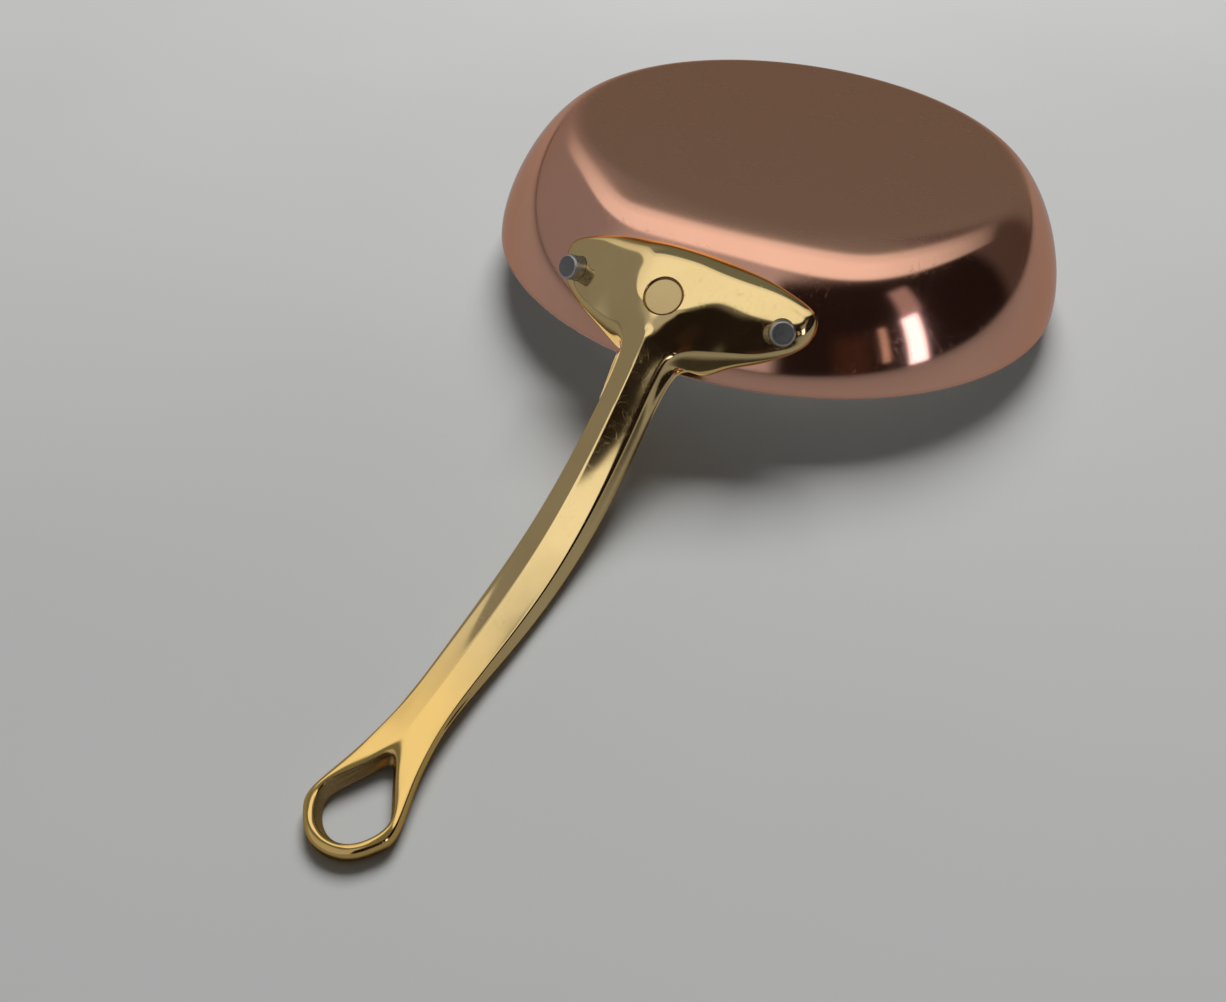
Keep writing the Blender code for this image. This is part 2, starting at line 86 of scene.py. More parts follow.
class NodeKit:
    """Short calls for building one node tree."""

    MIX_FIRST, MIX_SECOND, MIX_RESULT = 6, 7, 2  # a Mix node's colour sockets

    def __init__(self, tree: bpy.types.NodeTree) -> None:
        """Work on a node tree."""
        self.tree = tree

    def add(self, kind: str, *sources: object, named: dict | None = None,
            **settings: object) -> bpy.types.Node:
        """Add a node.

        Args:
            kind: The node's type name.
            sources: Sources for its first inputs, in order.
            named: Sources for other inputs, as {input's name: source}.
            settings: Properties to set on the node.

        Returns:
            The new node.
        """
        node = self.tree.nodes.new(kind)
        for name, value in settings.items():
            setattr(node, name, value)
        for socket, source in zip(node.inputs, sources):
            self.feed(socket, source)
        for name, source in (named or {}).items():
            self.feed(node.inputs[name], source)
        return node

    def feed(self, socket: bpy.types.NodeSocket, source: object) -> None:
        """Link a source to a socket, or set the socket's own value.

        Args:
            socket: The input to feed.
            source: Another node's output, or a plain value.
        """
        if isinstance(source, bpy.types.NodeSocket):
            self.tree.links.new(source, socket)
        elif source is not None:
            socket.default_value = source

    def math(self, operation: str, *sources: object) -> bpy.types.NodeSocket:
        """Return the output of a new Math node."""
        return self.add("ShaderNodeMath", *sources, operation=operation).outputs[0]

    def vector(self, operation: str, *sources: object) -> bpy.types.Node:
        """Return a new Vector Math node."""
        return self.add("ShaderNodeVectorMath", *sources, operation=operation)

    def split(self, source: object) -> tuple:
        """Return the x, y and z of a vector."""
        return tuple(self.add("ShaderNodeSeparateXYZ", source).outputs)

    def join(self, *parts: object) -> bpy.types.NodeSocket:
        """Return the vector of an x, a y and, where it is given, a z."""
        return self.add("ShaderNodeCombineXYZ", *parts).outputs[0]

    def ramp(self, source: object, low: object, high: object, to_low: object = 0.0,
             to_high: object = 1.0) -> bpy.types.NodeSocket:
        """Add a smooth Map Range node.

        Args:
            source: The value to map.
            low: The value that gives to_low.
            high: The value that gives to_high.
            to_low: The result at low.
            to_high: The result at high.

        Returns:
            The mapped value.
        """
        return self.add("ShaderNodeMapRange", source, low, high, to_low, to_high,
                        interpolation_type="SMOOTHSTEP").outputs[0]

    def mix(self, share: object, first: object, second: object) -> bpy.types.NodeSocket:
        """Mix two colours.

        Args:
            share: How much of the second colour there is.
            first: The first colour.
            second: The second colour.

        Returns:
            The mixed colour.
        """
        node = self.add("ShaderNodeMix", data_type="RGBA", named={"Factor": share})
        self.feed(node.inputs[self.MIX_FIRST], first)
        self.feed(node.inputs[self.MIX_SECOND], second)
        return node.outputs[self.MIX_RESULT]

    def noise(self, place: object, scale: object, detail: float = 2.0,
              roughness: float = 0.5) -> bpy.types.NodeSocket:
        """Add a Noise Texture.

        Args:
            place: The coordinates to read it at.
            scale: How many features there are to a metre.
            detail: How many finer layers are added.
            roughness: How strong the finer layers are.

        Returns:
            The noise, from 0 to 1.
        """
        return self.add("ShaderNodeTexNoise", named={
            "Vector": place, "Scale": scale, "Detail": detail,
            "Roughness": roughness}).outputs["Fac"]

    def show_blend(self, share: object, first: bpy.types.NodeSocket,
                   second: bpy.types.NodeSocket) -> None:
        """Blend two shaders, and show the blend as the material's surface.

        Args:
            share: How much of the second shader there is.
            first: The first shader.
            second: The second shader.
        """
        blend = self.add("ShaderNodeMixShader", share, first, second)
        self.feed(self.tree.nodes["Material Output"].inputs["Surface"], blend.outputs[0])


def open_group(name: str, kind: str, inputs: dict, outputs: dict) -> tuple:
    """Start a node group with named sockets.

    Args:
        name: The group's name.
        kind: The tree's type name.
        inputs: The inputs, as {name: (Socket, default or None)}.
        outputs: The outputs, as {name: Socket}.
    """
    tree = bpy.data.node_groups.new(name, kind)
    for label, (socket, default) in inputs.items():
        made = tree.interface.new_socket(label, in_out="INPUT", socket_type=socket.value)
        if default is not None:
            made.default_value = default
    for label, socket in outputs.items():
        tree.interface.new_socket(label, in_out="OUTPUT", socket_type=socket.value)
    kit = NodeKit(tree)
    return kit, kit.add("NodeGroupInput").outputs, kit.add("NodeGroupOutput").inputs


def open_material(name: str) -> tuple:
    """Start a material with the usual shader.

    Args:
        name: The material's name.
    """
    material = bpy.data.materials.new(name)
    material.use_nodes = True
    kit = NodeKit(material.node_tree)
    return material, kit, kit.tree.nodes["Principled BSDF"]


def add_object(name: str, data: bpy.types.ID) -> bpy.types.Object:
    """Link a mesh, a lamp or a camera to the scene.

    Args:
        name: The object's name.
        data: Its mesh, lamp or camera.

    Returns:
        The new object.
    """
    item = bpy.data.objects.new(name, data)
    bpy.context.scene.collection.objects.link(item)
    return item


def add_shape(name: str, shape: bmesh.types.BMesh) -> bpy.types.Object:
    """Link a finished shape to the scene, and free the shape.

    Args:
        name: The object's name.
        shape: The shape.

    Returns:
        The new object.
    """
    mesh = bpy.data.meshes.new(name)
    shape.to_mesh(mesh)
    shape.free()
    return add_object(name, mesh)


def apply_modifiers(item: bpy.types.Object) -> None:
    """Replace an object's mesh by its evaluated form, and drop its modifiers.

    Args:
        item: The object.
    """
    bpy.context.view_layer.update()
    shown = item.evaluated_get(bpy.context.evaluated_depsgraph_get())
    mesh = bpy.data.meshes.new_from_object(shown)
    item.modifiers.clear()
    item.data = mesh
    mesh.name = item.name


def cut_away(item: bpy.types.Object, cutters: list) -> None:
    """Cut other objects' shapes out of an object, and merge the doubles that this leaves.

    Args:
        item: The object to cut.
        cutters: The objects to cut with.
    """
    for cutter in cutters:
        modifier = item.modifiers.new("cut", "BOOLEAN")
        modifier.operation = "DIFFERENCE"
        modifier.solver = "EXACT"
        modifier.object = cutter
    apply_modifiers(item)
    shape = bmesh.new()
    shape.from_mesh(item.data)
    bmesh.ops.remove_doubles(shape, verts=shape.verts, dist=MERGE_REACH)
    bmesh.ops.dissolve_degenerate(shape, edges=shape.edges, dist=MERGE_REACH)
    spare = [corner for corner in shape.verts if len(corner.link_edges) == 2]
    bmesh.ops.dissolve_verts(shape, verts=spare)
    shape.to_mesh(item.data)
    shape.free()


def turned_to(place: Vector, course: Vector, axis: str = "Z") -> Matrix:
    """Build the matrix that puts a shape at a place with its axis along a direction.

    Args:
        place: Where the shape's origin goes.
        course: The direction.
        axis: The axis that is turned along it, Z or -Z.

    Returns:
        The matrix.
    """
    return Matrix.Translation(place) @ course.to_track_quat(axis, "Y").to_matrix().to_4x4()


def place_in_mesh(item: bpy.types.Object, matrix: Matrix) -> None:
    """Move an object's mesh by a matrix, and leave the object at the origin."""
    item.data.transform(matrix)
    item.data.update()


def shade_round(item: bpy.types.Object) -> None:
    """Shade an object smooth between its sharp edges."""
    item.data.shade_smooth()
    item.data.set_sharp_from_angle(angle=SHARP_ANGLE)


def bezier(points: tuple, share: float) -> tuple:
    """Walk along a four-point Bezier curve.

    Args:
        points: The curve's points.
        share: How far along the curve to go, from 0 to 1.

    Returns:
        The point there and the curve's direction.
    """
    first, second, third, last = points
    rest = 1.0 - share
    place = rest**3 * first + 3 * rest**2 * share * second + 3 * rest * share**2 * third
    place = place + share**3 * last
    course = rest**2 * (second - first) + 2 * rest * share * (third - second)
    course = course + share**2 * (last - third)
    return place, course.normalized()


def paint(item: bpy.types.Object, name: str, rule: Callable) -> None:
    """Store a mask on a piece's corners, for its material to read.

    Args:
        item: The piece.
        name: The mask's name.
        rule: Works out the mask from a corner's place and normal.
    """
    mask = item.data.attributes.new(name, "FLOAT", "POINT")
    for corner in item.data.vertices:
        mask.data[corner.index].value = rule(corner.co, corner.normal)


def smooth_share(value: float, low: float, high: float) -> float:
    """Return how far a value is from low to high, from 0 to 1, with soft ends."""
    share = min(max((value - low) / (high - low), 0.0), 1.0)
    return share * share * (3.0 - 2.0 * share)


@dataclass(frozen=True)
class WallCurve:
    """The outer line of the pan's wall, from the flat base's edge to the rim."""

    rim_radius: float = 100.0 * MM
    height: float = 42.7 * MM
    base_radius: float = 71.3 * MM
    level_reach: float = 14.3 * MM
    upright_reach: float = 13.7 * MM
    steps: int = 240

    def at(self, share: float) -> tuple:
        """Find a point of the curve.

        Args:
            share: How far along the curve to go, from 0 to 1.

        Returns:
            The point (radius, height) and the curve's direction.
        """
        points = (
            Vector((self.base_radius, 0.0)),
            Vector((self.base_radius + self.level_reach, 0.0)),
            Vector((self.rim_radius, self.height - self.upright_reach)),
            Vector((self.rim_radius, self.height)),
        )
        return bezier(points, share)

    @staticmethod
    def outward(course: Vector) -> Vector:
        """Return the direction square to a course, pointing out of the pan."""
        return Vector((course.y, -course.x))

    def profile(self, lift: float, steps: int) -> list:
        """Draw the wall's line, moved out of the pan.

        Args:
            lift: How far out the line is moved.
            steps: How many steps the line has.

        Returns:
            The points (radius, height), from the base's edge to the rim.
        """
        line = []
        for step in range(steps + 1):
            place, course = self.at(step / steps)
            line.append(place + lift * self.outward(course))
        return line

    def at_climb(self, climb: float) -> tuple:
        """Find the wall's outer point at a distance up the wall from the base's edge.

        Args:
            climb: The distance along the wall's line.

        Returns:
            The point (radius, height) and the line's direction.
        """
        gone = 0.0
        here, course = self.at(0.0)
        for step in range(1, self.steps + 1):
            ahead, course = self.at(step / self.steps)
            stride = (ahead - here).length
            if gone + stride >= climb:
                return here.lerp(ahead, (climb - gone) / stride), course
            gone += stride
            here = ahead
        return here + (climb - gone) * course, course

    def point(self, arc: float, climb: float, lift: float) -> Vector:
        """Find a point at an arc round the pan and a climb up its wall, lifted off the wall.

        Args:
            arc: The distance round the pan from the handle's middle.
            climb: The distance up the wall from the base's edge.
            lift: The distance out from the wall.

        Returns:
            The point.
        """
        place, course = self.at_climb(climb)
        angle = arc / place.x
        lifted = place + lift * self.outward(course)
        return Vector((lifted.x * math.cos(angle), lifted.x * math.sin(angle), lifted.y))

    def normal(self, arc: float, climb: float) -> Vector:
        """Find the direction square to the wall.

        Args:
            arc: The distance round the pan from the handle's middle.
            climb: The distance up the wall from the base's edge.

        Returns:
            The direction, of length 1.
        """
        return (self.point(arc, climb, 1.0) - self.point(arc, climb, 0.0)).normalized()

    def frame_at(self, arc: float, climb: float) -> Matrix:
        """Return a frame on the wall, at an arc and a climb, whose +Z is square to it."""
        return turned_to(self.point(arc, climb, 0.0), self.normal(arc, climb))


class Turning:
    """Turned pieces: a Geometry Nodes tree that sweeps a profile round +Z."""

    MERGE_DISTANCE = 0.003 * MM

    def __init__(self) -> None:
        """Build the tree."""
        kit, given, result = open_group(
            "Turned Profile",
            "GeometryNodeTree",
            {
                "Profile": (Socket.GEOMETRY, None),
                "Turn Steps": (Socket.INTEGER, 64),
                "Merge Distance": (Socket.FLOAT, self.MERGE_DISTANCE),
                "Material": (Socket.MATERIAL, None),
            },
            {"Turned": Socket.GEOMETRY},
        )
        self.tree = kit.tree
        size = kit.add("GeometryNodeAttributeDomainSize", given["Profile"], component="MESH")
        count = size.outputs["Point Count"]
        index = kit.add("GeometryNodeInputIndex").outputs[0]
        rings, ring, place = (
            kit.add("FunctionNodeIntegerMath", first, second, operation=operation).outputs[0]
            for operation, first, second in (
                ("ADD", given["Turn Steps"], 1), ("DIVIDE_FLOOR", index, count),
                ("MODULO", index, count)))
        grid = kit.add("GeometryNodeMeshGrid", named={"Vertices X": rings, "Vertices Y": count})
        sample = kit.add("GeometryNodeSampleIndex", data_type="FLOAT_VECTOR", domain="POINT",
                         named={"Geometry": given["Profile"], "Index": place,
                                "Value": kit.add("GeometryNodeInputPosition").outputs[0]})
        radius, _, height = kit.split(sample.outputs[0])
        angle = kit.math("MULTIPLY", kit.math("DIVIDE", ring, given["Turn Steps"]), math.tau)
        turned = kit.join(kit.math("MULTIPLY", radius, kit.math("COSINE", angle)),
                          kit.math("MULTIPLY", radius, kit.math("SINE", angle)), height)
        moved = kit.add("GeometryNodeSetPosition",
                        named={"Geometry": grid.outputs["Mesh"], "Position": turned})
        merged = kit.add("GeometryNodeMergeByDistance",
                         named={"Geometry": moved.outputs[0], "Distance": given["Merge Distance"]})
        whole = kit.add("GeometryNodeRealizeInstances", merged.outputs[0])
        dressed = kit.add("GeometryNodeSetMaterial",
                          named={"Geometry": whole.outputs[0], "Material": given["Material"]})
        kit.feed(result["Turned"], dressed.outputs[0])

    def make(self, name: str, line: list, steps: int,
             material: bpy.types.Material = None) -> bpy.types.Object:
        """Turn a profile into a closed piece.

        Args:
            name: The piece's name.
            line: The profile's points (radius, height), with the metal on their left.
            steps: How many steps there are round the piece.
            material: The piece's material.

        Returns:
            The piece, with its axis on the origin's +Z.
        """
        mesh = bpy.data.meshes.new(name)
        corners = [(point[0], 0.0, point[1]) for point in line]
        mesh.from_pydata(corners, [(at, at + 1) for at in range(len(line) - 1)], [])
        item = add_object(name, mesh)
        modifier = item.modifiers.new("turning", "NODES")
        modifier.node_group = self.tree
        values = {"Turn Steps": steps, "Merge Distance": self.MERGE_DISTANCE, "Material": material}
        for socket in self.tree.interface.items_tree:
            if socket.name in values:
                modifier[socket.identifier] = values[socket.name]
        apply_modifiers(item)
        shade_round(item)
        own = item.data.attributes.new(TURNED, "FLOAT_VECTOR", "POINT")
        for corner in item.data.vertices:
            own.data[corner.index].vector = corner.co
        return item


def rounded(corner: Vector, before: Vector, after: Vector, radius: float, steps: int) -> list:
    """Round a corner of a profile.

    Args:
        corner: The corner.
        before: The direction from the corner back along the profile.
        after: The direction from the corner on along the profile.
        radius: The round's radius, for a corner that is about square.
        steps: How many steps the round has.

    Returns:
        The round's points.
    """
    centre = corner + radius * (before + after)
    line = []
    for step in range(steps + 1):
        angle = math.pi / 2 * step / steps
        line.append(centre - radius * (after * math.cos(angle) + before * math.sin(angle)))
    return line


@dataclass
class Rivet:
    """A solid steel rivet: a domed head inside the pan, and a shank out through the handle."""

    wall: WallCurve
    arc: float = 32.4 * MM
    climb: float = 34.6 * MM
    radius: float = 3.8 * MM
    stand: float = 4.6 * MM
    wing_thickness: float = 6.0 * MM
    chamfer: float = 0.6 * MM
    head_overhang: float = 2.7 * MM
    head_edge: float = 0.8 * MM
    dome_height: float = 1.4 * MM
    dome_steps: int = 14
    edge_round: float = 0.18 * MM
    end_dish: float = 0.15 * MM
    end_rings: tuple = (0.86, 0.6, 0.3)
    end_mask_dishes: float = 2.0
    ring_mask_chamfers: float = 1.2
    round_steps: int = 4
    turn_steps: int = 64
    bore_gap: float = 0.12 * MM

    def matrix(self, side: Side) -> Matrix:
        """Return the rivet's frame on the wall, with +Z out of the pan."""
        return self.wall.frame_at(side.value * self.arc, self.climb)

    def bow(self, reach: float) -> float:
        """Work out how far the wall bows over a reach to each side of the rivet.

        Args:
            reach: The reach.

        Returns:
            The bow, in metres.
        """
        middle, _ = self.wall.at_climb(self.climb)
        below, _ = self.wall.at_climb(self.climb - reach)
        above, _ = self.wall.at_climb(self.climb + reach)
        bow_up = ((below + above) / 2 - middle).length
        return max(bow_up, middle.x - math.sqrt(middle.x**2 - reach**2))

    def build(self, turning: Turning, side: Side, lining_depth: float, gap: float,
              material: bpy.types.Material) -> bpy.types.Object:
        """Build one rivet in its place.

        Args:
            turning: The turning tree.
            side: Which rivet it is.
            lining_depth: How far the lining's inner face is from the wall's outer line.
            gap: The clearance under the head.
            material: The rivet's material.

        Returns:
            The rivet.
        """
        head_radius = self.radius + self.head_overhang
        seat = -lining_depth - gap - self.bow(head_radius)
        top = self.wing_thickness + self.stand
        line = []
        for step in range(self.dome_steps + 1):
            angle = math.pi / 2 * step / self.dome_steps
            drop = self.head_edge + self.dome_height * math.cos(angle)
            line.append(Vector((head_radius * math.sin(angle), seat - drop)))
        line += rounded(Vector((head_radius, seat)), -UP, -OUT, self.edge_round, self.round_steps)
        line.append(Vector((self.radius, seat)))
        slope = (UP - OUT).normalized()
        lower = Vector((self.radius, top - self.chamfer))
        upper = Vector((self.radius - self.chamfer, top))
        line += [lower - self.edge_round * UP, lower + self.edge_round * slope]
        line += [upper - self.edge_round * slope, upper - self.edge_round * OUT]
        line += [Vector((share * upper.x, top - self.end_dish * (1.0 - share)))
                 for share in self.end_rings]
        line.append(Vector((0.0, top - self.end_dish)))
        item = turning.make("pan_rivet_" + side.name.lower(), line, self.turn_steps, material)
        end_floor = top - self.end_mask_dishes * self.end_dish
        ring_floor = top - self.ring_mask_chamfers * self.chamfer

        def on_end(place: Vector, _: Vector) -> float:
            """Return 1 on the ground end."""
            return float(place.z > end_floor and place.xy.length < upper.x)

        def on_ring(place: Vector, _: Vector) -> float:
            """Return 1 on the bright chamfer round the end."""
            return float(place.z > ring_floor and place.xy.length >= upper.x)

        paint(item, "ground_end", on_end)
        paint(item, "end_ring", on_ring)
        place_in_mesh(item, self.matrix(side))
        return item

    def cutter(self, turning: Turning, side: Side) -> bpy.types.Object:
        """Build the cutter of one rivet's hole.

        Args:
            turning: The turning tree.
            side: Which rivet it is.

        Returns:
            The cutter.
        """
        radius = self.radius + self.bore_gap
        reach = self.wing_thickness + self.stand
        line = [Vector(point) for point in ((0.0, -reach), (radius, -reach), (radius, reach),
                                            (0.0, reach))]
        item = turning.make("bore_" + side.name.lower(), line, self.turn_steps)
        place_in_mesh(item, self.matrix(side))
        return item


@dataclass
class PanBody:
    """The copper shell and the lining bonded inside it."""

    wall: WallCurve
    copper_thickness: float = 1.8 * MM
    bond_gap: float = 0.04 * MM
    lining_depth: float = 2.6 * MM
    rim_round: float = 0.55 * MM
    lining_round: float = 0.3 * MM
    round_steps: int = 5
    wall_steps: int = 72
    base_rings: int = 20
    turn_steps: int = 256
    satin_radii: tuple = (76.0 * MM, 84.0 * MM)
    rim_band: tuple = (41.0 * MM, 41.8 * MM)

    def layer(self, outer_lift: float, inner_lift: float, outer_round: float,
              inner_round: float) -> list:
        """Draw the outline of a bowl-shaped layer between two offsets from the wall's line.

        Args:
            outer_lift: The outer face's offset.
            inner_lift: The inner face's offset.
            outer_round: The radius of the rim's outer edge.
            inner_round: The radius of the rim's inner edge.

        Returns:
            The outline's points, from the base's middle out and back.
        """
        rings = [ring / self.base_rings * self.wall.base_radius for ring in range(self.base_rings)]
        outer = self.wall.profile(outer_lift, self.wall_steps)
        inner = self.wall.profile(inner_lift, self.wall_steps)
        outer_edge, inner_edge = outer[-1], inner[-1]
        outer = [point for point in outer if point.y < outer_edge.y - outer_round]
        inner = [point for point in inner if point.y < inner_edge.y - inner_round]
        line = [Vector((ring, -outer_lift)) for ring in rings] + outer
        line += rounded(outer_edge, -UP, -OUT, outer_round, self.round_steps)
        line += rounded(inner_edge, OUT, -UP, inner_round, self.round_steps)
        line += list(reversed(inner))
        return line + [Vector((ring, -inner_lift)) for ring in reversed(rings)]

    def build_shell(self, turning: Turning, material: bpy.types.Material) -> bpy.types.Object:
        """Build the copper shell.

        Args:
            turning: The turning tree.
            material: The copper.

        Returns:
            The shell.
        """
        line = self.layer(0.0, -self.copper_thickness, self.rim_round, self.lining_round)
        return turning.make("pan_body", line, self.turn_steps, material)

    def build_lining(self, turning: Turning, material: bpy.types.Material) -> bpy.types.Object:
        """Build the lining.

        Args:
            turning: The turning tree.
            material: The lining's steel.

        Returns:
            The lining.
        """
        outer_lift = -self.copper_thickness - self.bond_gap
        small = self.lining_round / 2
        line = self.layer(outer_lift, -self.lining_depth, small, self.lining_round)
        return turning.make("pan_lining", line, self.turn_steps, material)

    def paint_shell(self, shell: bpy.types.Object) -> None:
        """Mask the shell's satin base and the dull band at its rim.

        Args:
            shell: The shell.
        """
        def on_base(place: Vector, _: Vector) -> float:
            """Return 1 on the flat base, less where the wall starts to rise."""
            return 1.0 - smooth_share(place.xy.length, *self.satin_radii)

        def on_rim(place: Vector, _: Vector) -> float:
            """Return 1 on the band just below the rim's edge."""
            return smooth_share(place.z, *self.rim_band)

        paint(shell, "satin_base", on_base)
        paint(shell, "rim_band", on_rim)

    def outside_cutter(self, turning: Turning, gap: float, rise: float) -> bpy.types.Object:
        """Build the solid that trims the handle to the wall.

        Args:
            turning: The turning tree.
            gap: How far the solid stands off the copper.
            rise: How far it rises above the rim.

        Returns:
            The cutter.
        """
        profile = self.wall.profile(gap, self.wall_steps)
        top = self.wall.height + rise
        line = [Vector((0.0, -gap)), *profile, Vector((profile[-1].x, top)), Vector((0.0, top))]
        return turning.make("wall_cutter", line, self.turn_steps)


class Section(NamedTuple):
    """A cut across the grip: facets rise from the ridge to an edge, then the sides rise on."""

    along: float
    edge_half_width: float
    edge_rise: float
    side_half_width: float
    side_rise: float
    thickness: float


GRIP_SECTIONS = tuple(
    Section(*(size * MM for size in sizes)) for sizes in (
        (13.4, 6.9, 4.6, 9.8, 12.0, 15.2), (25.8, 6.4, 4.5, 8.2, 10.8, 14.2),
        (41.8, 6.6, 4.3, 8.4, 10.6, 13.6), (59.8, 6.8, 3.6, 8.5, 9.4, 12.2),
        (77.8, 6.8, 2.8, 8.3, 7.6, 10.3), (95.8, 6.4, 2.0, 7.7, 5.9, 8.3),
        (112.8, 5.9, 1.4, 6.8, 4.4, 6.6), (126.8, 6.1, 1.0, 6.7, 3.3, 5.5),
    )
)


class Knot(NamedTuple):
    """A target of the flange in millimetres: arc round the pan, climb up its wall, lift off it."""

    arc: float
    climb: float
    lift: float


FLANGE_FACE = (
    (Knot(0.0, 20.0, 8.2), Knot(6.8, 20.4, 7.9), Knot(13.5, 21.7, 6.5),
     Knot(21.0, 23.4, 4.9), Knot(28.5, 25.8, 3.8), Knot(35.0, 29.0, 3.3)),
    (Knot(0.0, 25.4, 10.7), Knot(7.0, 25.8, 10.2), Knot(14.0, 26.8, 8.2),
     Knot(21.0, 27.6, 6.3), Knot(28.5, 29.4, 4.9), Knot(36.2, 31.2, 3.9)),
    (Knot(0.0, 31.6, 13.2), Knot(7.2, 31.8, 12.6), Knot(14.0, 32.0, 9.9),
     Knot(21.0, 32.0, 7.8), Knot(28.5, 33.2, 6.2), Knot(36.7, 34.0, 4.5)),
    (Knot(13.5, 37.4, 10.9), Knot(21.0, 36.8, 8.9), Knot(28.5, 37.0, 6.7),
     Knot(36.3, 36.6, 4.5)),
    (Knot(12.0, 43.4, 12.0), Knot(20.5, 42.2, 9.7), Knot(28.5, 41.2, 7.3),
     Knot(35.2, 39.2, 4.7)),
)
FLANGE_FOOT_EDGE = (
    Knot(0.0, 17.7, 2.8), Knot(6.8, 18.0, 2.8), Knot(13.5, 19.0, 2.6), Knot(21.0, 20.6, 2.3),
    Knot(28.5, 23.0, 2.0), Knot(38.2, 27.4, 1.8),
)
FLANGE_TIP_EDGE = (Knot(40.9, 31.0, 1.9), Knot(41.3, 34.0, 2.0), Knot(40.6, 37.2, 2.1))
FLANGE_TOP_EDGE = (
    Knot(13.0, 50.2, 5.0), Knot(20.5, 47.0, 4.8), Knot(28.5, 44.4, 4.0), Knot(37.3, 40.7, 2.7),
)


@dataclass
class CastHandle:
    """The cast handle: flange, neck, ridged grip and loop in one smooth piece.

    Its shape is a cage of targets that the smoothed surface goes through, on a grid whose rows
    run along the handle and whose columns run from its middle to each side.
    """

    wall: WallCurve
    sections: tuple = GRIP_SECTIONS
    face: tuple = FLANGE_FACE
    foot_edge: tuple = FLANGE_FOOT_EDGE
    tip_edge: tuple = FLANGE_TIP_EDGE
    top_edge: tuple = FLANGE_TOP_EDGE
    flange_sink: float = 1.5 * MM
    bulge_height: float = 13.2 * MM
    disc_climb: float = 31.6 * MM
    disc_radius: float = 6.0 * MM
    disc_depth: float = 0.6 * MM
    disc_steps: int = 96
    groove_width: float = 0.7 * MM
    groove_depth: float = 0.35 * MM
    floor_mask_share: float = 0.25
    groove_mask_share: float = 0.6
    disc_edge_share: float = 1.003
    hole_facing: tuple = (0.35, 0.75)
    warm_span: tuple = (190.0 * MM, 235.0 * MM)
    foot_reach: float = 110.0 * MM
    foot_painted_shade: tuple = (0.7 * MM, 1.9 * MM)
    # distances over which the painted shade in the flange's corner with the copper fades out
    crest_along: float = 3.2 * MM
    crest_near_half_width: float = 6.9 * MM
    crest_near_rise: float = 0.9 * MM
    web_along: float = 7.8 * MM
    web_near_half_width: float = 6.0 * MM
    web_near_rise: float = 2.5 * MM
    crest_climb: float = 37.4 * MM
    web_far_arc: float = 12.5 * MM
    web_root_climb: float = 51.5 * MM
    side_swell: float = 0.3 * MM
    ridge_length: float = 165.4 * MM
    ridge_climb: float = 61.2 * MM
    ridge_start_slope: float = math.radians(40.6)
    ridge_end_slope: float = math.radians(10.8)
    ridge_start_reach: float = 90.0 * MM
    ridge_end_reach: float = 87.3 * MM
    fork_along: float = 136.3 * MM
    hole_length: float = 24.2 * MM
    fork_half_width: float = 8.9 * MM
    fork_hole_half_width: float = 4.4 * MM
    fork_hole_reach: float = 6.5 * MM
    fork_side_reach: float = 4.5 * MM
    hole_radius: float = 8.8 * MM
    loop_radius: float = 11.8 * MM
    loop_end_wall: float = 3.4 * MM
    loop_thickness: float = 5.1 * MM
    loop_face_rise: float = 0.6 * MM
    loop_edge_rise: float = 2.7 * MM
    loop_lip: float = 0.7 * MM
    hole_draft: float = 0.5 * MM
    fork_draft: float = 1.6 * MM
    loop_draft: float = 1.0 * MM
    middle_share: float = 0.55
    widest_turn: float = 90.0
    loop_side_turn: float = 62.0
    loop_end_turns: tuple = (0.0, 18.0, 38.0)
    hole_turns: tuple = (0.0, 38.0)
    flange_rows: int = 5
    wing_columns: int = 5
    grip_columns: int = 2
    hole_rows: int = 2
    loop_rows: int = 3
    settle_levels: int = 2
    fine_levels: int = 4
    settle_rounds: int = 6
    ridge_crease: float = 0.6
    edge_crease: float = 0.3
    halvings: int = 40
    targets: dict = field(default_factory=dict)

    def ridge_at(self, along: float) -> tuple:
        """Find the ridge's point a level distance on from the disc.

        Args:
            along: The level distance.

        Returns:
            The point (x, z) and the ridge's direction there.
        """
        disc = self.wall.point(0.0, self.disc_climb, self.bulge_height)
        first = Vector((disc.x, disc.z))
        last = first + Vector((self.ridge_length, self.ridge_climb))
        start = Vector((math.cos(self.ridge_start_slope), math.sin(self.ridge_start_slope)))
        end = Vector((math.cos(self.ridge_end_slope), math.sin(self.ridge_end_slope)))
        points = (first, first + self.ridge_start_reach * start,
                  last - self.ridge_end_reach * end, last)
        low, high = 0.0, 1.0
        for _ in range(self.halvings):
            middle = (low + high) / 2
            place, _ = bezier(points, middle)
            if place.x - first.x < along:
                low = middle
            else:
                high = middle
        return bezier(points, (low + high) / 2)

    def off_ridge(self, along: float, across: float, rise: float) -> Vector:
        """Find a point beside the ridge.

        Args:
            along: The level distance from the disc.
            across: The distance to the side.
            rise: The distance square to the ridge, towards the handle's back.

        Returns:
            The point.
        """
        place, course = self.ridge_at(along)
        return Vector((place.x - rise * course.y, across, place.y + rise * course.x))

    def flange_points(self) -> dict:
        """Work out the flange's targets, from its foot to the web.

        Returns:
            The targets, as {(row, column, skin): point}.
        """
        def at(knot: Knot, lift: float = None) -> Vector:
            """Return a knot's place, or the place at another lift over the same spot."""
            height = knot.lift * MM if lift is None else lift
            return self.wall.point(knot.arc * MM, knot.climb * MM, height)

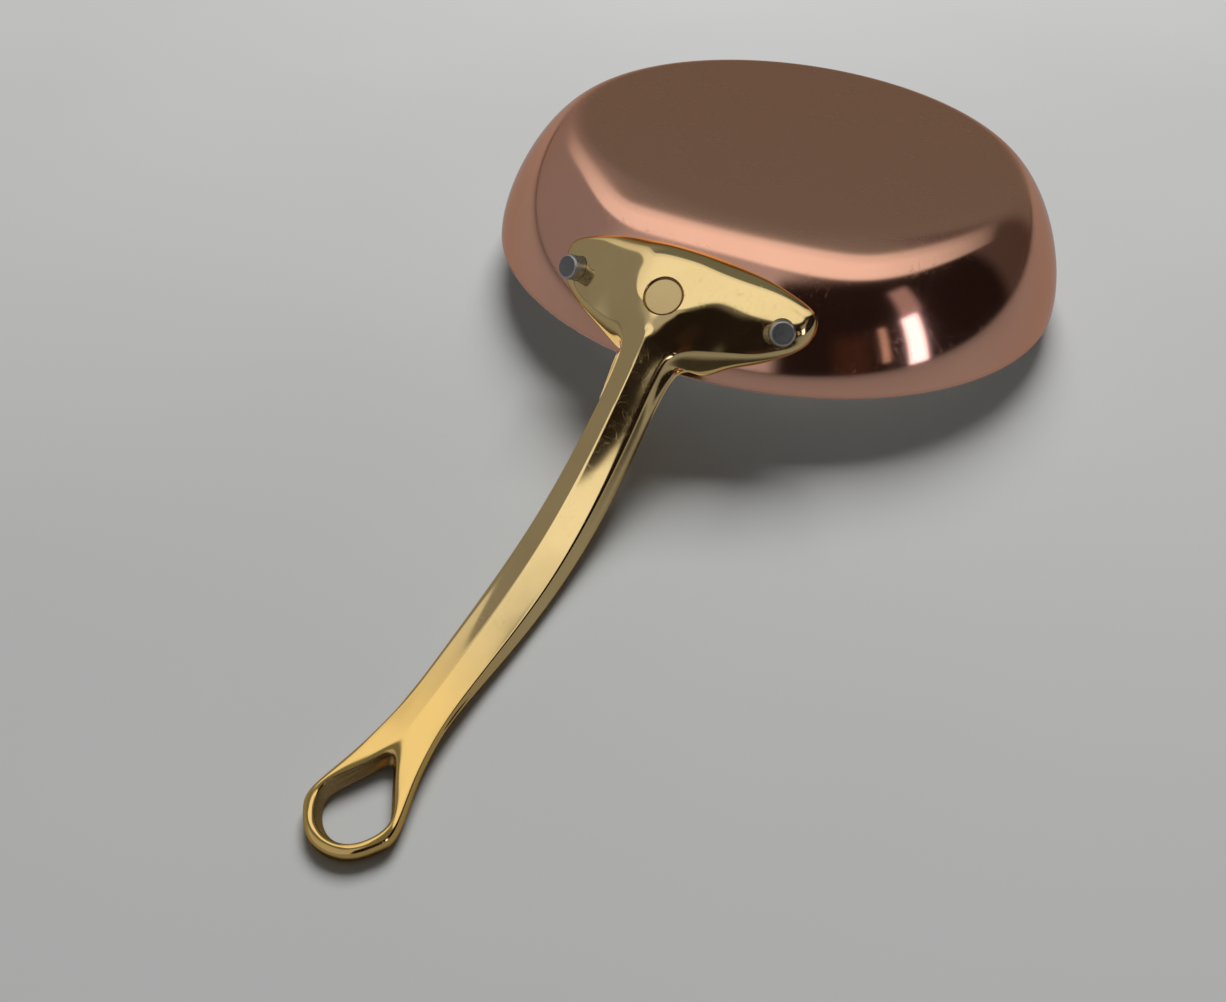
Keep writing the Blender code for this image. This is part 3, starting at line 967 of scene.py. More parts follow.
        web = self.flange_rows - 1
        points = {}
        for row, knots in enumerate(self.face):
            first = self.wing_columns + 1 - len(knots)
            for column, knot in enumerate(knots, start=first):
                points[row, column, Skin.UNDER] = at(knot)
                points[row, column, Skin.BACK] = at(knot, -self.flange_sink)
        outline = [(0, column, knot) for column, knot in enumerate(self.foot_edge)]
        outline += [(row, self.wing_columns, knot)
                    for row, knot in enumerate(self.tip_edge, start=1)]
        outline += [(web, column, knot)
                    for column, knot in enumerate(self.top_edge, start=self.grip_columns)]
        for row, column, knot in outline:
            points[row, column, Skin.EDGE] = at(knot)
            points[row, column, Skin.BACK] = at(knot, -self.flange_sink)
        near, low = self.web_near_half_width, self.crest_near_half_width
        points[web, 0, Skin.UNDER] = self.off_ridge(self.web_along, 0.0, 0.0)
        points[web, 1, Skin.UNDER] = self.off_ridge(self.web_along, near, self.web_near_rise)
        points[web - 1, 0, Skin.UNDER] = self.off_ridge(self.crest_along, 0.0, 0.0)
        points[web - 1, 1, Skin.UNDER] = self.off_ridge(self.crest_along, low,
                                                        self.crest_near_rise)
        for column, arc in enumerate((0.0, low)):
            root = self.wall.point(arc, self.crest_climb, -self.flange_sink)
            points[web - 1, column, Skin.BACK] = root
        for column, arc in enumerate((0.0, near, self.web_far_arc)):
            root = self.wall.point(arc, self.web_root_climb, -self.flange_sink)
            points[web, column, Skin.BACK] = root
        return points

    def grip_points(self) -> dict:
        """Work out the grip's targets.

        Returns:
            The targets, as {(row, column, skin): point}.
        """
        points = {}
        for row, cut in enumerate(self.sections, start=self.flange_rows):
            share = self.middle_share
            edge, side = (cut.edge_half_width, cut.edge_rise), (cut.side_half_width, cut.side_rise)
            under = ((0.0, 0.0), (edge[0] * share, edge[1] * share), edge)
            back = ((0.0, cut.thickness), (side[0] * share, cut.thickness), side)
            for column, (lower, upper) in enumerate(zip(under, back)):
                points[row, column, Skin.UNDER] = self.off_ridge(cut.along, *lower)
                points[row, column, Skin.BACK] = self.off_ridge(cut.along, *upper)
            low, high = Vector(edge), Vector(side)
            band = (high - low).normalized()
            middle = (low + high) / 2 + self.side_swell * Vector((band.y, -band.x))
            points[row, self.grip_columns, Skin.EDGE] = self.off_ridge(cut.along, *middle)
        return points

    def loop_outline(self, fork_draft: float, hole_draft: float, side_draft: float) -> tuple:
        """Draw the loop's outline, drawn in by its drafts.

        Args:
            fork_draft: How far the fork moves towards the handle's end.
            hole_draft: How far the hole's side moves in.
            side_draft: How far the loop's outer side moves in.

        Returns:
            The rows of points (along, across): fork, wide part, hole's end and tip.
        """
        def turned(centre: float, radius: float, turn: float) -> tuple:
            """Return the point of a half round about the ridge, turned away from its end."""
            angle = math.radians(turn)
            return centre + radius * math.cos(angle), radius * math.sin(angle)

        hole_centre = self.fork_along + self.hole_length - self.hole_radius
        hole = self.hole_radius - hole_draft
        loop_centre = self.fork_along + self.hole_length + self.loop_end_wall - self.loop_radius
        loop = self.loop_radius - side_draft
        fork = (
            (self.fork_along + fork_draft, 0.0),
            (self.fork_along + self.fork_hole_reach, self.fork_hole_half_width - hole_draft),
            (self.fork_along + self.fork_side_reach, self.fork_half_width - side_draft),
        )
        wide = (None, turned(hole_centre, hole, self.widest_turn),
                turned(loop_centre, loop, self.widest_turn))
        tail = [turned(hole_centre, hole, turn) for turn in self.hole_turns]
        tail.append(turned(loop_centre, loop, self.loop_side_turn))
        tip = [turned(loop_centre, loop, turn) for turn in self.loop_end_turns]
        return fork, wide, tail, tip

    def loop_points(self) -> dict:
        """Work out the loop's targets.

        Returns:
            The targets, as {(row, column, skin): point}.
        """
        lip = self.loop_lip
        drawn_in = self.loop_outline(self.fork_draft, self.hole_draft, self.loop_draft)
        faces = (
            (Skin.UNDER, self.loop_face_rise, self.loop_outline(0.0, -lip, lip)),
            (Skin.EDGE, self.loop_edge_rise, self.loop_outline(self.fork_draft / 2, 0.0, 0.0)),
            (Skin.BACK, self.loop_thickness, drawn_in),
        )
        points = {}
        for skin, rise, rows in faces:
            for row, places in enumerate(rows, start=self.fork_row):
                for column, place in enumerate(places):
                    if place:
                        points[row, column, skin] = self.off_ridge(*place, rise)
        return points

    @property
    def fork_row(self) -> int:
        """Return the row of the cage where the loop's hole starts."""
        return self.flange_rows + len(self.sections)

    def cells(self) -> set:
        """Find the cells of the cage's grid that hold metal.

        Returns:
            The cells, as (row, column).
        """
        found = set()
        for row in range(self.fork_row + self.loop_rows):
            widest = self.wing_columns if row < self.flange_rows - 1 else self.grip_columns
            for column in range(-widest, widest):
                beside_middle = column in (-1, 0)
                past_fork = self.fork_row <= row < self.fork_row + self.hole_rows
                if not (beside_middle and past_fork):
                    found.add((row, column))
        return found

    def faces(self) -> list:
        """List the cage's faces: both skins and the strips round its outline.

        Returns:
            The faces, as lists of target keys.
        """
        cells = self.cells()
        found = []
        for row, column in sorted(cells):
            ring = [(row, column), (row, column + 1), (row + 1, column + 1), (row + 1, column)]
            found.append([(*corner, Skin.UNDER) for corner in ring])
            found.append([(*corner, Skin.BACK) for corner in reversed(ring)])
            beyond = ((row - 1, column), (row, column + 1), (row + 1, column), (row, column - 1))
            for neighbour, first, second in zip(beyond, ring, ring[1:] + ring[:1]):
                if neighbour in cells:
                    continue
                for low, high in ((Skin.UNDER, Skin.EDGE), (Skin.EDGE, Skin.BACK)):
                    found.append([(*first, low), (*first, high), (*second, high),
                                  (*second, low)])
        return found

    def crease(self, first: tuple, second: tuple) -> float:
        """Say how sharp the surface stays along an edge of the cage.

        Args:
            first: The key of the edge's first corner.
            second: The key of its second corner.

        Returns:
            The crease, from 0 to 1.
        """
        web = self.flange_rows - 1
        rows = {first[0], second[0]}
        columns = {abs(first[1]), abs(second[1])}
        if not first[2] == second[2] == Skin.UNDER:
            return 0.0
        if web <= min(rows) and max(rows) <= self.fork_row:
            if columns == {0}:
                return self.ridge_crease
            if columns == {self.grip_columns}:
                return self.edge_crease
        if rows == {web} and min(columns) >= self.grip_columns:
            return self.edge_crease
        return 0.0

    def cage(self) -> tuple:
        """Build the cage's mesh through its targets.

        Returns:
            The mesh, and the key of each of its corners.
        """
        half = {**self.flange_points(), **self.grip_points(), **self.loop_points()}
        for (row, column, skin), point in half.items():
            self.targets[row, column, skin] = point
            self.targets[row, -column, skin] = Vector((point.x, -point.y, point.z))
        faces = self.faces()
        keys = sorted({key for face in faces for key in face},
                      key=lambda key: (key[0], key[1], key[2].value))
        index = {key: place for place, key in enumerate(keys)}
        mesh = bpy.data.meshes.new("handle_cage")
        corners = [[index[key] for key in face] for face in faces]
        mesh.from_pydata([self.targets[key] for key in keys], [], corners)
        creases = mesh.attributes.new("crease_edge", "FLOAT", "EDGE")
        for edge in mesh.edges:
            first, second = (keys[corner] for corner in edge.vertices)
            creases.data[edge.index].value = self.crease(first, second)
        return mesh, keys

    def settle(self, item: bpy.types.Object, keys: list) -> None:
        """Move the cage's corners until the smoothed surface goes through the targets.

        Args:
            item: The handle, with its smoothing on.
            keys: The key of each of the cage's corners.
        """
        for _ in range(self.settle_rounds):
            bpy.context.view_layer.update()
            smooth = item.evaluated_get(bpy.context.evaluated_depsgraph_get()).data
            reached = [smooth.vertices[at].co.copy() for at in range(len(item.data.vertices))]
            for corner, point in zip(item.data.vertices, reached):
                corner.co += self.targets[keys[corner.index]] - point

    def disc_cutter(self, turning: Turning) -> bpy.types.Object:
        """Build the cutter of the round recess on the bulge.

        Args:
            turning: The turning tree.

        Returns:
            The cutter.
        """
        groove = self.disc_radius - self.groove_width
        line = [Vector(point) for point in (
            (0.0, 0.0), (groove, 0.0), (groove + self.groove_width / 2, -self.groove_depth),
            (self.disc_radius, 0.0), (self.disc_radius, self.bulge_height),
            (0.0, self.bulge_height))]
        cutter = turning.make("disc_cutter", line, self.disc_steps)
        place_in_mesh(cutter, turned_to(*self.disc_floor()))
        return cutter

    def disc_floor(self) -> tuple:
        """Find the recess's floor, which is square to the ridge's start.

        Returns:
            The floor's middle and the direction out of the recess.
        """
        normal = (self.off_ridge(0.0, 0.0, -1.0) - self.off_ridge(0.0, 0.0, 0.0)).normalized()
        return self.off_ridge(0.0, 0.0, self.disc_depth), normal

    def paint_handle(self, item: bpy.types.Object, shell: bpy.types.Object) -> None:
        """Mask the parts of the handle whose finish differs, and the corners that get painted
        shade.

        Args:
            item: The handle.
            shell: The copper shell, which the flange's foot lies on.
        """
        start, _ = self.ridge_at(self.fork_along - self.fork_side_reach)
        centre, course = self.ridge_at(self.fork_along + self.hole_length - self.hole_radius)
        back = Vector((-course.y, 0.0, course.x))
        disc, disc_normal = self.disc_floor()
        floor_height = self.floor_mask_share * self.groove_depth
        floor_radius = self.disc_radius - self.groove_width / 2
        groove_start = self.disc_radius - self.groove_mask_share * self.groove_width
        groove_end = self.disc_radius * self.disc_edge_share

        def in_hole(place: Vector, normal: Vector) -> float:
            """Find the faces that look into the loop's hole.

            Args:
                place: A point of the handle.
                normal: The direction square to the surface there.

            Returns:
                1 on those faces, and 0 elsewhere.
            """
            if place.x < start.x or abs(place.y) > self.hole_radius + self.hole_draft:
                return 0.0
            inwards = Vector((centre.x, 0.0, centre.y)) - place
            inwards -= inwards.dot(back) * back
            inner = inwards.length < self.hole_length
            facing = normal.dot(inwards.normalized())
            return smooth_share(facing, *self.hole_facing) if inner else 0.0

        def on_disc(place: Vector, _: Vector) -> float:
            """Return 1 on the recess's floor."""
            away = place - disc
            return float(abs(away.dot(disc_normal)) < floor_height
                         and away.length < floor_radius)

        def at_end(place: Vector, _: Vector) -> float:
            """Return 1 where the grip's polish has gone warmer."""
            return smooth_share(place.x, *self.warm_span)

        def at_foot(place: Vector, _: Vector) -> float:
            """Find the flange's corner with the copper, and the disc's groove, which get painted
            shade.

            Args:
                place: A point of the handle.

            Returns:
                1 there, and 0 where the surface is clear of both.
            """
            if place.xy.length > self.foot_reach:
                return 0.0
            if groove_start < (place - disc).length < groove_end:
                return 1.0
            _, near, _, _ = shell.closest_point_on_mesh(place)
            return 1.0 - smooth_share((near - place).length, *self.foot_painted_shade)

        # painted shade in the flange's corner with the copper and in the disc's groove
        paint(item, "foot_painted_shade", at_foot)
        paint(item, "warm_end", at_end)
        paint(item, "as_cast", in_hole)
        paint(item, "satin_disc", on_disc)

    def build(self, cutters: list, material: bpy.types.Material) -> bpy.types.Object:
        """Build the handle.

        Args:
            cutters: The solids that trim it to the wall and cut its recess and bores.
            material: The cast brass.

        Returns:
            The handle.
        """
        mesh, keys = self.cage()
        item = add_object("pan_handle", mesh)
        smoothing = item.modifiers.new("smoothing", "SUBSURF")
        smoothing.levels = smoothing.render_levels = self.settle_levels
        self.settle(item, keys)
        smoothing.levels = smoothing.render_levels = self.fine_levels
        apply_modifiers(item)
        cut_away(item, cutters)
        item.data.materials.clear()
        item.data.materials.append(material)
        shade_round(item)
        return item


class Effects:
    """Shader node groups for the effects that several finishes share."""

    CLOUD_NOISE = (4.0, 0.6)  # finer layers, and how strong they are
    RING_NOISE = (2.0, 0.6)
    LINE_LAYERS, PATCH_LAYERS = 1.0, 2.0
    PATCH_SPAN = (0.48, 0.6)

    def __init__(self) -> None:
        """Build the groups."""
        self.clouds = self.build_clouds()
        self.scratches = self.build_scratches()
        self.rings = self.build_rings()
        self.specks = self.build_specks()

    @staticmethod
    def use(kit: NodeKit, tree: bpy.types.NodeTree, **values: object) -> bpy.types.NodeSocket:
        """Place a group in a material.

        Args:
            tree: The group.
            values: Sources for its inputs, by name, with _ for a space.

        Returns:
            The group's output.
        """
        node = kit.add("ShaderNodeGroup", node_tree=tree)
        for name, value in values.items():
            kit.feed(node.inputs[name.replace("_", " ")], value)
        return node.outputs[0]

    @staticmethod
    def build_clouds() -> bpy.types.NodeTree:
        """Build soft clouds, for tarnish, wiping marks and uneven polish.

        Returns:
            The group, whose Mask runs from 0 to 1.
        """
        kit, given, result = open_group(
            "Clouds", "ShaderNodeTree",
            {"Place": (Socket.VECTOR, None), "Density": (Socket.FLOAT, 30.0),
             "Contrast": (Socket.FLOAT, 0.2)},
            {"Mask": Socket.FLOAT})
        cloud = kit.noise(given["Place"], given["Density"], *Effects.CLOUD_NOISE)
        mask = kit.ramp(cloud, kit.math("SUBTRACT", 0.5, given["Contrast"]),
                        kit.math("ADD", 0.5, given["Contrast"]))
        kit.feed(result["Mask"], mask)
        return kit.tree

    @staticmethod
    def build_scratches() -> bpy.types.NodeTree:
        """Build fine straight scratches that come in patches.

        Returns:
            The group, whose Mask is 1 in a scratch.
        """
        kit, given, result = open_group(
            "Fine Scratches", "ShaderNodeTree",
            {"Place": (Socket.VECTOR, None), "Turn": (Socket.VECTOR, None),
             "Density": (Socket.FLOAT, 400.0), "Stretch": (Socket.FLOAT, 0.03),
             "Width": (Socket.FLOAT, 0.015), "Patches": (Socket.FLOAT, 60.0)},
            {"Mask": Socket.FLOAT})
        turned = kit.add("ShaderNodeVectorRotate", rotation_type="EULER_XYZ", named={
            "Vector": given["Place"], "Rotation": given["Turn"]}).outputs[0]
        drawn = kit.vector("MULTIPLY", turned, kit.join(given["Stretch"], 1.0, 1.0)).outputs[0]
        streaks = kit.noise(drawn, given["Density"], Effects.LINE_LAYERS)
        away = kit.math("ABSOLUTE", kit.math("SUBTRACT", streaks, 0.5))
        line = kit.ramp(away, 0.0, given["Width"], 1.0, 0.0)
        patches = kit.noise(turned, given["Patches"], Effects.PATCH_LAYERS)
        patch = kit.ramp(patches, *Effects.PATCH_SPAN)
        kit.feed(result["Mask"], kit.math("MULTIPLY", line, patch))
        return kit.tree

    @staticmethod
    def build_rings() -> bpy.types.NodeTree:
        """Build the fine rings that turning and brushing leave round an axis.

        Returns:
            The group, whose Value runs from 0 to 1.
        """
        kit, given, result = open_group(
            "Turned Rings", "ShaderNodeTree",
            {"Place": (Socket.VECTOR, None), "Density": (Socket.FLOAT, 2500.0),
             "Break": (Socket.FLOAT, 0.0004)},
            {"Value": Socket.FLOAT})
        across, along, up = kit.split(given["Place"])
        square = kit.math("ADD", kit.math("MULTIPLY", across, across),
                          kit.math("MULTIPLY", along, along))
        turn = kit.math("MULTIPLY", kit.math("ARCTAN2", along, across), given["Break"])
        rolled = kit.join(kit.math("SQRT", square), turn, up)
        kit.feed(result["Value"], kit.noise(rolled, given["Density"], *Effects.RING_NOISE))
        return kit.tree

    @staticmethod
    def build_specks() -> bpy.types.NodeTree:
        """Build scattered specks and pits.

        Returns:
            The group, whose Mask is 1 in a speck.
        """
        kit, given, result = open_group(
            "Specks", "ShaderNodeTree",
            {"Place": (Socket.VECTOR, None), "Density": (Socket.FLOAT, 900.0),
             "Size": (Socket.FLOAT, 0.3), "Share": (Socket.FLOAT, 0.5)},
            {"Mask": Socket.FLOAT})
        cells = kit.add("ShaderNodeTexVoronoi", named={
            "Vector": given["Place"], "Scale": given["Density"]})
        dot = kit.ramp(cells.outputs["Distance"], 0.0, given["Size"], 1.0, 0.0)
        kept = kit.math("LESS_THAN", kit.split(cells.outputs["Color"])[0], given["Share"])
        kit.feed(result["Mask"], kit.math("MULTIPLY", dot, kept))
        return kit.tree


class Region(NamedTuple):
    """A part of a piece with another finish, under a mask stored on the piece."""

    mask: str
    colour: tuple
    roughness: float
    grain: float


@dataclass(frozen=True)
class MetalFinish:
    """A worked metal: its colour, clouds of tarnish, polish, scratches and turning marks."""

    name: str
    colour: tuple
    tarnish: tuple
    roughness: float
    tarnish_share: float = 0.5
    cloud_density: float = 28.0
    cloud_roughness: float = 0.03
    scratch_turns: tuple = ((0.3, 0.2, 0.5), (0.9, -0.4, 2.1))
    scratch_roughness: float = 0.12
    scratch_depth: float = 0.0006 * MM
    wave_density: float = 45.0
    wave_depth: float = 0.0
    ring_depth: float = 0.0
    ring_shade: float = 0.0
    edge_tint: tuple = (1.0, 1.0, 1.0)
    grain_density: float = 1500.0
    grain_depth: float = 0.02 * MM
    grain_size: float = 0.6
    grain_share: float = 0.8
    grain_shade: float = 0.35
    regions: tuple = ()

    def build(self, effects: Effects) -> bpy.types.Material:
        """Build the material.

        Args:
            effects: The shared groups.

        Returns:
            The material.
        """
        material, kit, shader = open_material(self.name)
        shader.inputs["Metallic"].default_value = 1.0
        shader.inputs["Specular Tint"].default_value = (*self.edge_tint, 1.0)
        place = kit.add("ShaderNodeTexCoord").outputs["Object"]
        clouds = effects.use(kit, effects.clouds, Place=place, Density=self.cloud_density)
        share = kit.math("MULTIPLY", clouds, self.tarnish_share)
        colour = kit.mix(share, (*self.colour, 1.0), (*self.tarnish, 1.0))
        roughness = kit.math("MULTIPLY_ADD", clouds, self.cloud_roughness, self.roughness)
        scratch = None
        for turn in self.scratch_turns:
            lines = effects.use(kit, effects.scratches, Place=place, Turn=turn)
            scratch = lines if scratch is None else kit.math("MAXIMUM", scratch, lines)
        roughness = kit.math("MULTIPLY_ADD", scratch, self.scratch_roughness, roughness)
        height = kit.math("MULTIPLY", scratch, -self.scratch_depth)
        if self.wave_depth:
            wave = kit.noise(place, self.wave_density, 1.0)
            height = kit.math("MULTIPLY_ADD", wave, self.wave_depth, height)
        if self.ring_depth or self.ring_shade:
            own = kit.add("ShaderNodeAttribute", attribute_name=TURNED).outputs["Vector"]
            rings = effects.use(kit, effects.rings, Place=own)
            height = kit.math("MULTIPLY_ADD", rings, self.ring_depth, height)
            roughness = kit.math("MULTIPLY_ADD", rings, self.ring_shade, roughness)
        for region in self.regions:
            mask = kit.add("ShaderNodeAttribute", attribute_name=region.mask).outputs["Fac"]
            specks = effects.use(kit, effects.specks, Place=place, Density=self.grain_density,
                                 Size=self.grain_size, Share=self.grain_share)
            grain = kit.math("MULTIPLY", mask, kit.math("MULTIPLY", specks, region.grain))
            shaded = kit.mix(kit.math("MULTIPLY", specks, self.grain_shade * region.grain),
                             (*region.colour, 1.0), (*self.tarnish, 1.0))
            colour = kit.mix(mask, colour, shaded)
            own_roughness = kit.math("MULTIPLY_ADD", clouds, self.cloud_roughness,
                                     region.roughness)
            change = kit.math("SUBTRACT", own_roughness, roughness)
            roughness = kit.math("MULTIPLY_ADD", change, mask, roughness)
            height = kit.math("MULTIPLY_ADD", grain, -self.grain_depth, height)
        bump = kit.add("ShaderNodeBump", named={"Distance": 1.0, "Height": height})
        kit.feed(shader.inputs["Base Color"], colour)
        kit.feed(shader.inputs["Roughness"], roughness)
        kit.feed(shader.inputs["Normal"], bump.outputs[0])
        return material


COPPER = MetalFinish(
    "Polished copper", (0.90, 0.50, 0.37), (0.80, 0.42, 0.31), 0.06, tarnish_share=0.35,
    cloud_density=22.0, cloud_roughness=0.03, wave_depth=0.006 * MM, ring_depth=0.00012 * MM,
    ring_shade=0.03, edge_tint=(0.97, 0.72, 0.6),
    regions=(Region("satin_base", (0.88, 0.49, 0.36), 0.26, 0.0),
             Region("rim_band", (0.80, 0.43, 0.32), 0.1, 0.0)),
)
CAST_BRASS = MetalFinish(
    "Cast brass", (0.87, 0.66, 0.33), (0.74, 0.54, 0.26), 0.07, tarnish_share=0.4,
    cloud_density=40.0, cloud_roughness=0.05, wave_density=75.0, wave_depth=0.025 * MM,
    edge_tint=(0.85, 0.66, 0.38),
    regions=(Region("warm_end", (0.88, 0.59, 0.21), 0.08, 0.0),
             # painted shade: darker brass in the flange's corner with the copper and in the disc's
             # groove
             Region("foot_painted_shade", (0.34, 0.24, 0.12), 0.2, 0.0),
             Region("as_cast", (0.42, 0.29, 0.14), 0.38, 1.0),
             Region("satin_disc", (0.60, 0.45, 0.23), 0.3, 0.5)),
)
LINING_STEEL = MetalFinish(
    "Brushed lining steel", (0.66, 0.65, 0.62), (0.58, 0.56, 0.53), 0.2, tarnish_share=0.5,
    ring_depth=0.0012 * MM, ring_shade=0.14,
)
RIVET_STEEL = MetalFinish(
    "Rivet steel", (0.50, 0.49, 0.47), (0.26, 0.25, 0.24), 0.3, tarnish_share=1.0,
    cloud_density=700.0, cloud_roughness=0.2, ring_depth=0.002 * MM, ring_shade=0.1,
    grain_density=2500.0,
    regions=(Region("ground_end", (0.19, 0.19, 0.20), 0.36, 1.0),
             Region("end_ring", (0.52, 0.51, 0.49), 0.3, 0.3)),
)


@dataclass(frozen=True)
class PhotoCamera:
    """The camera of the picture, below the pan's base."""

    place: Vector = Vector((0.379371, -0.108160, -0.147135))
    right: Vector = Vector((-0.44875861, -0.89039383, -0.07625308))
    down: Vector = Vector((0.5379979, -0.33730906, 0.77251592))
    ahead: Vector = Vector((-0.71356427, 0.30564917, 0.63040036))
    lens: float = 33.794
    sensor: float = 36.0
    clip: tuple = (0.01, 50.0)

    def build(self) -> None:
        """Build the camera and make it the scene's own."""
        data = bpy.data.cameras.new("photo_camera")
        data.lens, data.sensor_width, data.sensor_fit = self.lens, self.sensor, "HORIZONTAL"
        data.clip_start, data.clip_end = self.clip
        camera = add_object("photo_camera", data)
        turn = Matrix((self.right, -self.down, -self.ahead)).transposed().to_4x4()
        camera.matrix_world = Matrix.Translation(self.place) @ turn
        bpy.context.scene.camera = camera


@dataclass(frozen=True)
class RoomPatch:
    """A soft-edged patch of the room that polished metal reflects, by direction in degrees."""

    azimuth: tuple
    elevation: tuple
    softness: float
    colour: tuple


@dataclass(frozen=True)
class Room:
    """The room round the table, which lights the scene and shows in polished metal.

    Up is square to the table. Azimuth 0 is along the handle and 90 is towards the part's -Y.
    """

    up: Vector = TABLE_UP
    background: tuple = (0.56, 0.56, 0.54, 1.0)
    fill: tuple = (0.17, 0.172, 0.175, 1.0)
    fill_dark: tuple = (0.02, 0.02, 0.022, 1.0)
    fill_low: float = 15.0
    fill_high: float = 80.0
    dim: tuple = (0.162, 0.174, 0.158, 1.0)
    patches: tuple = (
        RoomPatch((-75.0, 35.0), (-10.0, 88.0), 14.0, (0.42, 0.42, 0.42)),
        RoomPatch((-140.0, -62.0), (-10.0, 40.0), 12.0, (0.25, 0.25, 0.25)),
        RoomPatch((24.0, 152.0), (-12.0, 52.0), 5.0, (0.07, 0.06, 0.055)),
        RoomPatch((24.0, 124.0), (-12.0, 48.0), 4.0, (0.014, 0.010, 0.009)),
        RoomPatch((46.0, 60.0), (-12.0, 20.0), 4.0, (0.04, 0.022, 0.014)),
        RoomPatch((64.5, 67.5), (4.0, 21.0), 0.8, (0.55, 0.45, 0.38)),
        RoomPatch((75.5, 85.0), (22.0, 36.0), 1.5, (0.36, 0.31, 0.31)),
        RoomPatch((75.0, 82.5), (-12.0, 22.0), 0.8, (2.3, 2.3, 2.75)),
        RoomPatch((-180.0, 180.0), (-95.0, -4.0), 3.0, (0.34, 0.34, 0.335)),
        RoomPatch((10.0, 95.0), (-74.0, -38.0), 8.0, (1.15, 1.15, 1.15)),
        RoomPatch((-170.0, -95.0), (-66.0, -24.0), 9.0, (0.95, 0.95, 0.97)),
    )

    def patch_group(self) -> bpy.types.NodeTree:
        """Build the group that masks one patch of directions.

        Returns:
            The group.
        """
        sides = {name: (Socket.FLOAT, 0.0) for name in (
            "Azimuth", "Elevation", "Azimuth Low", "Azimuth High", "Elevation Low",
            "Elevation High", "Softness")}
        kit, given, result = open_group("Room Patch", "ShaderNodeTree", sides,
                                        {"Mask": Socket.FLOAT})
        mask = None
        for name in ("Azimuth", "Elevation"):
            soft = given["Softness"]
            low, high = given[name + " Low"], given[name + " High"]
            above = kit.ramp(given[name], kit.math("SUBTRACT", low, soft),
                             kit.math("ADD", low, soft))
            below = kit.ramp(given[name], kit.math("SUBTRACT", high, soft),
                             kit.math("ADD", high, soft), 1.0, 0.0)
            both = kit.math("MULTIPLY", above, below)
            mask = both if mask is None else kit.math("MULTIPLY", mask, both)
        kit.feed(result["Mask"], mask)
        return kit.tree

    def build(self) -> None:
        """Build the world and make it the scene's own."""
        world = bpy.data.worlds.new("Room")
        bpy.context.scene.world = world
        world.use_nodes = True
        kit = NodeKit(world.node_tree)
        kit.tree.nodes.clear()
        course = kit.add("ShaderNodeTexCoord").outputs["Generated"]
        level = Vector((1.0, 0.0, 0.0))
        level = (level - level.dot(self.up) * self.up).normalized()
        parts = [kit.vector("DOT_PRODUCT", course, axis).outputs["Value"]
                 for axis in (level, self.up.cross(level), self.up)]
        azimuth = kit.math("DEGREES", kit.math("ARCTAN2", parts[1], parts[0]))
        elevation = kit.math("DEGREES", kit.math("ARCSINE", parts[2]))
        group = self.patch_group()
        colour = self.dim
        for patch in self.patches:
            mask = kit.add("ShaderNodeGroup", azimuth, elevation, *patch.azimuth,
                           *patch.elevation, patch.softness, node_tree=group)
            colour = kit.mix(mask.outputs[0], colour, (*patch.colour, 1.0))
        rays = kit.add("ShaderNodeLightPath").outputs
        low = kit.ramp(elevation, self.fill_low, self.fill_high)
        fill = kit.mix(low, self.fill_dark, self.fill)
        shown = kit.mix(rays["Is Glossy Ray"], fill, colour)
        shown = kit.mix(rays["Is Camera Ray"], shown, self.background)
        back = kit.add("ShaderNodeBackground", named={"Color": shown})
        kit.add("ShaderNodeOutputWorld", named={"Surface": back.outputs[0]})
        world.cycles.sampling_method = "NONE"


@dataclass(frozen=True)
class Lamp:
    """A rectangular lamp for the table and dull surfaces, which doesn't show in metal.

    Its brightness is set as the radiance of its face.
    """

    name: str
    place: Vector
    facing: Vector
    size: tuple
    radiance: float
    bounces: int = 1024

    def build(self) -> None:
        """Build the lamp."""
        data = bpy.data.lights.new(self.name, "AREA")
        data.shape = "RECTANGLE"
        data.size, data.size_y = self.size
        data.energy = self.radiance * math.pi * data.size * data.size_y
        data.cycles.max_bounces = self.bounces
        lamp = add_object(self.name, data)
        lamp.matrix_world = turned_to(self.place, self.facing, "-Z")
        lamp.visible_camera = lamp.visible_glossy = False


